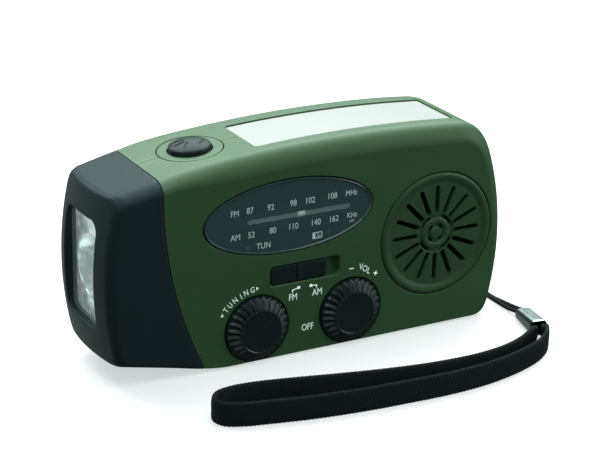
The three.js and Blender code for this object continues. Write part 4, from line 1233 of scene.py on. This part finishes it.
def on_hinge(profile, count=32, middle=0.0):
    """A turned solid round the hinge pin's line, from (radius, distance along it) pairs."""
    rings = [[(x, y, CRANK[1] + middle + h) for x, y in circle((HINGE_X, HINGE_Y), r, count)(0)]
             for r, h in profile]
    return body_tool(*loft(rings))


def about_crank(outline, *profile):
    return body_tool(*stack(outline, profile))


def crank_plate():
    """The turning disc with its hub, the grip's pocket, the arm's trough, two lugs and two shallow rings."""
    z, lid = CRANK[1], DEPTH - 3.4
    face = [(CRANK_R, CRANK_FLOOR), (CRANK_R, DEPTH - 0.5), (CRANK_R - 0.12, DEPTH - 0.18),
            (CRANK_R - 0.45, DEPTH), (18, DEPTH), (0.5, DEPTH)]
    plate = body_tool(*loft(turned(face, CRANK, 160)))
    shape_with(plate, [about_crank(circle(CRANK, CRANK_R - 1.8, 120), (0, 20), (0, lid))])
    pocket_width, pocket_height = GRIP_R + 7.8, 11.4
    pocket = rounded((GRIP_X - 0.7, z), pocket_width, pocket_height, 5.69, 12, 3)
    cup = about_crank(pocket, (1.2, CRANK_FLOOR), (1.2, 35.0))
    shape_with(cup, [about_crank(circle(CRANK, CRANK_R - 0.5, 120), (0, 20), (0, 36))], "INTERSECT")
    shape_with(plate, [cup], "UNION")
    hub = ((3.9, 22.0, 30.0), (2.1, 19.2, 23.0), (6.4, CRANK_FLOOR, 35.0))
    shape_with(plate, [about_crank(circle(CRANK, r, 48), (0, low), (0, high)) for r, low, high in hub],
               "UNION")
    for lug in (-6.2, 6.2):
        ear = on_hinge([(1.5, -1.2), (KNUCKLE_R, -1.0), (KNUCKLE_R, 1.0), (1.5, 1.2)], middle=lug)
        stem = body_tool(*slab(HINGE_X - KNUCKLE_R, HINGE_X + KNUCKLE_R, DEPTH - 1, HINGE_Y,
                               z + lug - 1.2, z + lug + 1.2))
        shape_with(plate, [ear, stem], "UNION")
    trough = rounded(((GRIP_X + HINGE_X - 3.6) / 2, z), HINGE_X + 8.4 - GRIP_X, 9.9, 0.9, 6, 6)
    shape_with(plate, [body_tool(*rear_well(pocket, POCKET_FLOOR)),
                       body_tool(*rear_well(trough, ARM_LOW - 0.4, 0.3)),
                       on_hinge([(PIN_HOLE_R, -12), (PIN_HOLE_R, 12)], 24)])
    for r in (22.6, 23.6):
        groove = [(0.16, DEPTH + 1), (0.16, DEPTH - 0.04), (0.06, DEPTH - 0.24), (-0.06, DEPTH - 0.24),
                  (-0.16, DEPTH - 0.04), (-0.16, DEPTH + 1)]
        ring = turned([(r + width, y) for width, y in groove], CRANK, 160)
        shape_with(plate, [body_tool(*loft(ring, around=True))])
    finish_piece("crank_plate", piece_mesh(plate), REAR_BLACK, "crank", 34, ("crank_disc",))


def crank_lever():
    """The folding arm: a flat bar with a knuckle at the hinge and a sunk panel on its back."""
    z = CRANK[1]
    span = rounded(((GRIP_X + HINGE_X) / 2, z), ARM_LENGTH + 9.0, 9.0, 4.45, 12, 8)
    bar = about_crank(span, (-0.25, ARM_LOW), (0, ARM_LOW + 0.25), (0, ARM_HIGH - 0.6),
                      (-0.1, ARM_HIGH - 0.25), (-0.35, ARM_HIGH - 0.07), (-0.7, ARM_HIGH))
    shape_with(bar, [body_tool(*slab(HINGE_X + 0.4, HINGE_X + 10, 20, 50, z - 9, z + 9))])
    shape_with(bar, [on_hinge([(1.5, -4.5), (KNUCKLE_R, -4.3), (KNUCKLE_R, 4.3), (1.5, 4.5)])], "UNION")
    relief = rounded((-3.0, z), 20.0, 5.0, 2.45, 10, 4)
    shape_with(bar, [about_crank(relief, (-0.2, ARM_HIGH - 0.6), (0.0, ARM_HIGH - 0.45),
                                 (0.25, ARM_HIGH - 0.02), (0.5, ARM_HIGH + 1)),
                     on_hinge([(PIN_HOLE_R, -12), (PIN_HOLE_R, 12)], 24),
                     about_crank(circle((GRIP_X, z), 1.3, 24), (0, 30), (0, DEPTH - 1))])
    finish_piece("crank_lever", piece_mesh(bar), REAR_BLACK, "arm", 34, ("crank_arm",))


def crank_handle():
    """The turning grip with four shallow grooves and a blind hole for its pin."""
    low, high = 26.6, ARM_LOW - 0.3
    profile = [(0.4, low), (4.1, low), (4.7, low + 0.25), (5.0, low + 0.9)]
    for i in range(4):
        base = mix(low + 1.3, high - 1.2, i / 3)
        profile += [(5.0, base - 0.32), (4.72, base - 0.12), (4.72, base + 0.12), (5.0, base + 0.32)]
    profile += [(5.0, high - 0.5), (4.8, high - 0.15), (4.4, high), (0.4, high)]
    grip = body_tool(*loft(turned(profile, (GRIP_X, CRANK[1]), 96)))
    shape_with(grip, [about_crank(circle((GRIP_X, CRANK[1]), 1.3, 24), (0, 26.95), (0, 40))])
    finish_piece("crank_handle", piece_mesh(grip), REAR_BLACK, "grip", 34, ("crank_grip",))


crank_plate()
crank_lever()
crank_handle()


# ---- wrist strap ---------------------------------------------------------------------------------
CORD_ROUTE = [
    (69.3, -6.5, 2.2), (69.6, -1.5, 1.2), (69.3, 4, 0.75), (68.4, 9.5, 0.8), (67.2, 14.5, 2.2),
    (65.8, 18.2, 5.2),
    (63.4, 20, 7.7), (60.6, 20.2, 8.0), (58.6, 21.2, 8.0), (57.9, 22.6, 8.0), (58.6, 24.0, 8.0),
    (60.6, 25.0, 8.0),
    (63.6, 25.1, 7.6), (66.2, 22.4, 4.6), (67.6, 17.5, 1.6), (67.9, 12, 0.75), (67.8, 6, 0.75),
    (67.7, 0, 0.9),
    (67.3, -6.4, 2.0)]
WEB_ROUTE = [
    (66.2, -20.0), (63.6, -25.2), (60.3, -30.0), (54.8, -34.2), (47.4, -37.4), (38.5, -39.8),
    (29, -41.2), (18, -41.5),
    (7, -40.9), (-5, -40.0), (-20.6, -37.8), (-33, -35.0), (-39.8, -33.2), (-44.2, -30.8), (-45.4, -27.4),
    (-43.2, -24.2), (-38.5, -23.0), (-32, -23.4), (-20.4, -25.9), (-8, -29.1), (4.7, -32), (17.8, -34.2),
    (32.5, -34.9),
    (43, -33.5), (50.5, -30.8), (56.5, -27.3), (60.6, -23.8), (63.4, -20.6)]
CLIP_FROM, CLIP_TO = (68.4, -7.0), (65.2, -19.6)


def smooth_path(points, step):
    """Points at even steps along a smooth curve through the given ones, and its length."""
    points = [Vector(p) for p in points]
    ends = [points[0] * 2 - points[1], *points, points[-1] * 2 - points[-2]]
    fine = []
    for i in range(1, len(ends) - 2):
        p = ends[i - 1:i + 3]
        t = [0.0]
        for a, b in zip(p, p[1:]):
            t.append(t[-1] + math.sqrt((b - a).length))
        for j in range(24):
            u = mix(t[1], t[2], j / 24)
            a = [p[k].lerp(p[k + 1], (u - t[k]) / (t[k + 1] - t[k])) for k in range(3)]
            b = [a[k].lerp(a[k + 1], (u - t[k]) / (t[k + 2] - t[k])) for k in range(2)]
            fine.append(b[0].lerp(b[1], (u - t[1]) / (t[2] - t[1])))
    fine.append(points[-1])
    total = sum((b - a).length for a, b in zip(fine, fine[1:]))
    count = max(2, round(total / step))
    out, walked, want = [fine[0]], 0.0, total / count
    for a, b in zip(fine, fine[1:]):
        span = (b - a).length
        while walked + span >= want - 1e-9 and len(out) < count:
            a = a.lerp(b, (want - walked) / span)
            out.append(a)
            span, walked = (b - a).length, 0.0
        walked += span
    return [*out, fine[-1]], total


def strap_lace():
    """The thin doubled cord, round and plaited."""
    step, sides, plait_pitch = 0.22, 16, 3.4
    path, length = smooth_path(CORD_ROUTE, step)
    rings, side = [], None
    for i, p in enumerate(path):
        along = (path[min(i + 1, len(path) - 1)] - path[max(i - 1, 0)]).normalized()
        side = (side if side else Vector((0, 0, 1)).cross(along))
        side = (side - along * side.dot(along)).normalized()
        rise = along.cross(side)
        walk, ring = i * step, []
        for k in range(sides):
            a = TAU * k / sides
            plait = abs(math.sin(2 * a + walk * plait_pitch)) * abs(math.sin(2 * a - walk * plait_pitch))
            r = CORD_D / 2 * (0.93 + 0.11 * plait)
            ring.append(tuple(p + side * r * math.cos(a) + rise * r * math.sin(a)))
        rings.append(ring)
    piece = new_piece("strap_lace", *loft(rings), CORD_CLOTH, "case", "webbing", 60, ("strap_cord",))
    length / 1000


def strap_band():
    """The flat woven strap, on its edge: chevron ribs on both faces, narrowed where it enters the clip."""
    step = 0.16
    path, length = smooth_path([(x, y, 0) for x, y in WEB_ROUTE], step)
    half, thick, pitch = WEB_WIDE / 2, WEB_THICK / 2, 1.15
    across = [i / 16 * 2 - 1 for i in range(17)]
    rings = []
    for i, p in enumerate(path):
        along = (path[min(i + 1, len(path) - 1)] - path[max(i - 1, 0)]).normalized()
        side = Vector((-along.y, along.x, 0))
        walk, ring = i * step, []
        tooth = 0.07 * math.sin(walk * TAU / pitch)
        tight = mix(0.56, 1.0, smooth((min(walk, length - walk) - 0.5) / 8))
        for face in (1, -1):
            for u in (across if face == 1 else across[::-1]):
                rib = math.sin((walk + face * 0.3 + abs(abs(u) - 0.5) * 2.6) * TAU / pitch)
                edge = math.sqrt(max(0.0, 1 - abs(u) ** 6))
                out = face * (thick * 0.85 * edge + 0.09 * rib * edge)
                height = half * tight + u * (half * tight - 0.12 + tooth * abs(u) ** 3)
                ring.append(tuple(p + side * out + Vector((0, 0, height))))
        rings.append(ring)
    piece = new_piece("strap_band", *loft(rings), WEB_CLOTH, "case", "webbing", 60, ("strap_webbing",))
    route = [p + Vector((0, 0, half)) for p in path[::15]] + [path[-1] + Vector((0, 0, half))]
    length / 1000
    strap_ferrule()


CLIP_WIDE = 5.2


def strap_ferrule():
    """The crimped metal sleeve that joins the cord to the strap."""
    a, b = Vector((*CLIP_FROM, 0)), Vector((*CLIP_TO, 0))
    along = (b - a).normalized()
    side = Vector((-along.y, along.x, 0))
    length = (b - a).length

    def section(t, inset):
        high = mix(3.6, 5.0, t)
        centre = a + along * (length * t) + Vector((0, 0, high / 2))
        return [tuple(centre + side * u + Vector((0, 0, v)))
                for u, v in rounded((0, 0), CLIP_WIDE, high, 1.6, 10, 3)(-inset)]

    rings = [section(0.16, 0.55), section(0.0, 0.5), section(0.0, 0.22), section(0.02, 0.06)]
    rings += [section(t, 0.0) for t in (0.05, 0.35, 0.65, 0.95)]
    rings += [section(0.98, 0.06), section(1.0, 0.22), section(1.0, 0.5), section(0.86, 0.55)]
    return new_piece("strap_ferrule", *loft(rings), CLIP_METAL, "case", "clip_plating", 40, ("strap_clip",))


strap_lace()
strap_band()

# ---- what is inside ------------------------------------------------------------------------------
def dress(material, *nodes):
    """Gives a finish to nodes that are kept as they are."""
    for node in nodes:
        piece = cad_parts[node]
        piece.data.materials.clear()
        piece.data.materials.append(material)


dress(STEEL, *(f"case_screw_{i}" for i in range(1, 5)), "speaker_frame", "speaker_magnet", "volume_pot",
      "band_switch",
      "push_switch", "button_spring", "dynamo_motor", "dynamo_pinion", "idler_axle", "crank_gear_screw",
      "crank_hinge_pin", "grip_pin")
dress(NYLON, "tuning_pinion", "tuning_capacitor", "idler_gear", "crank_gear")
dress(DARK_NYLON, "pointer_carriage")
dress(BOARD, "main_board", "led_board")
dress(FERRITE, "ferrite_rod")
dress(WIRE, "antenna_coil")
dress(CELL_WRAP, "battery_pack")
dress(CONE, "speaker_cone")
dress(CELL, "solar_cell")
dress(CLEAR, "lens")
dress(LED_EPOXY, "led_1", "led_2", "led_3")

# ---- camera, floor and light ---------------------------------------------------------------------
def put_camera():
    """A long lens from the front left, a little above."""
    azimuth, elevation, roll = math.radians(-29.36), math.radians(21.05), math.radians(-1.37)
    level = math.cos(elevation)
    back = Vector((math.sin(azimuth) * level, -math.cos(azimuth) * level, math.sin(elevation)))
    right = (-back).cross(Vector((0, 0, 1))).normalized()
    down = (-back).cross(right)
    cam_x = right * math.cos(roll) + down * math.sin(roll)
    cam_down = down * math.cos(roll) - right * math.sin(roll)
    data = bpy.data.cameras.new("view")
    data.sensor_width, data.lens = 36.0, 114.49
    data.clip_start, data.clip_end = 0.01, 20.0
    camera = bpy.data.objects.new("view", data)
    bpy.context.scene.collection.objects.link(camera)
    columns = Matrix((cam_x, -cam_down, back)).transposed().to_4x4()
    camera.matrix_world = Matrix.Translation(spot(-248.90, -433.06, 230.85)) @ columns
    bpy.context.scene.camera = camera


STUDIO_WHITE = (0.86, 1.0, 0.97)


def soft_light(name, place, aim, size, power):
    """A square-on soft box, aimed at a point."""
    data = bpy.data.lights.new(name, "AREA")
    data.shape, data.energy, data.color = "RECTANGLE", power, STUDIO_WHITE
    data.size, data.size_y = size
    lamp = bpy.data.objects.new(name, data)
    lamp.location = place
    lamp.rotation_mode = "QUATERNION"
    lamp.rotation_quaternion = (Vector(aim) - Vector(place)).to_track_quat("-Z", "Y")
    bpy.context.scene.collection.objects.link(lamp)


put_camera()
reach = 6.0
corners = [(-reach, -reach, 0), (reach, -reach, 0), (reach, reach, 0), (-reach, reach, 0)]
floor_mesh = bpy.data.meshes.new("floor")
floor_mesh.from_pydata(corners, [], [(0, 1, 2, 3)])
floor = bpy.data.objects.new("floor", floor_mesh)
bpy.context.scene.collection.objects.link(floor)
paper = Recipe("paper", Roughness=0.9, Specular_IOR_Level=0.1, Emission_Strength=1.0)
paper.feed("Base Color", paper.blend(paper.noise(3.0, 2.0), (0.50, 0.44, 0.45), (0.52, 0.46, 0.47)))
paper.feed("Emission Color", paper.blend(paper.noise(5.0, 2.0), (0.56, 0.60, 0.595), (0.57, 0.61, 0.605)))
floor_mesh.materials.append(paper.material)
floor.visible_diffuse = False
floor.visible_glossy = False

soft_light("top_softbox", (0.25, 0.62, 0.95), (0.1, 0.1, 0.03), (1.9, 1.1), 45)
soft_light("high_front", (0.0, -0.5, 1.1), (0, 0, 0.05), (1.0, 0.5), 5.0)
soft_light("left_card", (-0.95, -0.35, 0.5), (0, 0, 0.03), (1.0, 1.0), 2.4)
soft_light("right_fill", (1.1, -0.62, 0.42), (0, 0, 0.03), (0.7, 0.6), 6.2)
# the white table mirrored in the plating behind the lens; the floor hides it from everything else
soft_light("table_glow", (-0.42, 0.85, -0.40), (-0.06, 0, 0.03), (1.3, 1.3), 4.5)

world = bpy.data.worlds.new("studio")
world.use_nodes = True
world.node_tree.nodes["Background"].inputs["Color"].default_value = (*STUDIO_WHITE, 1)
world.node_tree.nodes["Background"].inputs["Strength"].default_value = 0.12
bpy.context.scene.world = world
bpy.context.scene.view_settings.view_transform = "Standard"
bpy.context.scene.view_settings.look = "None"
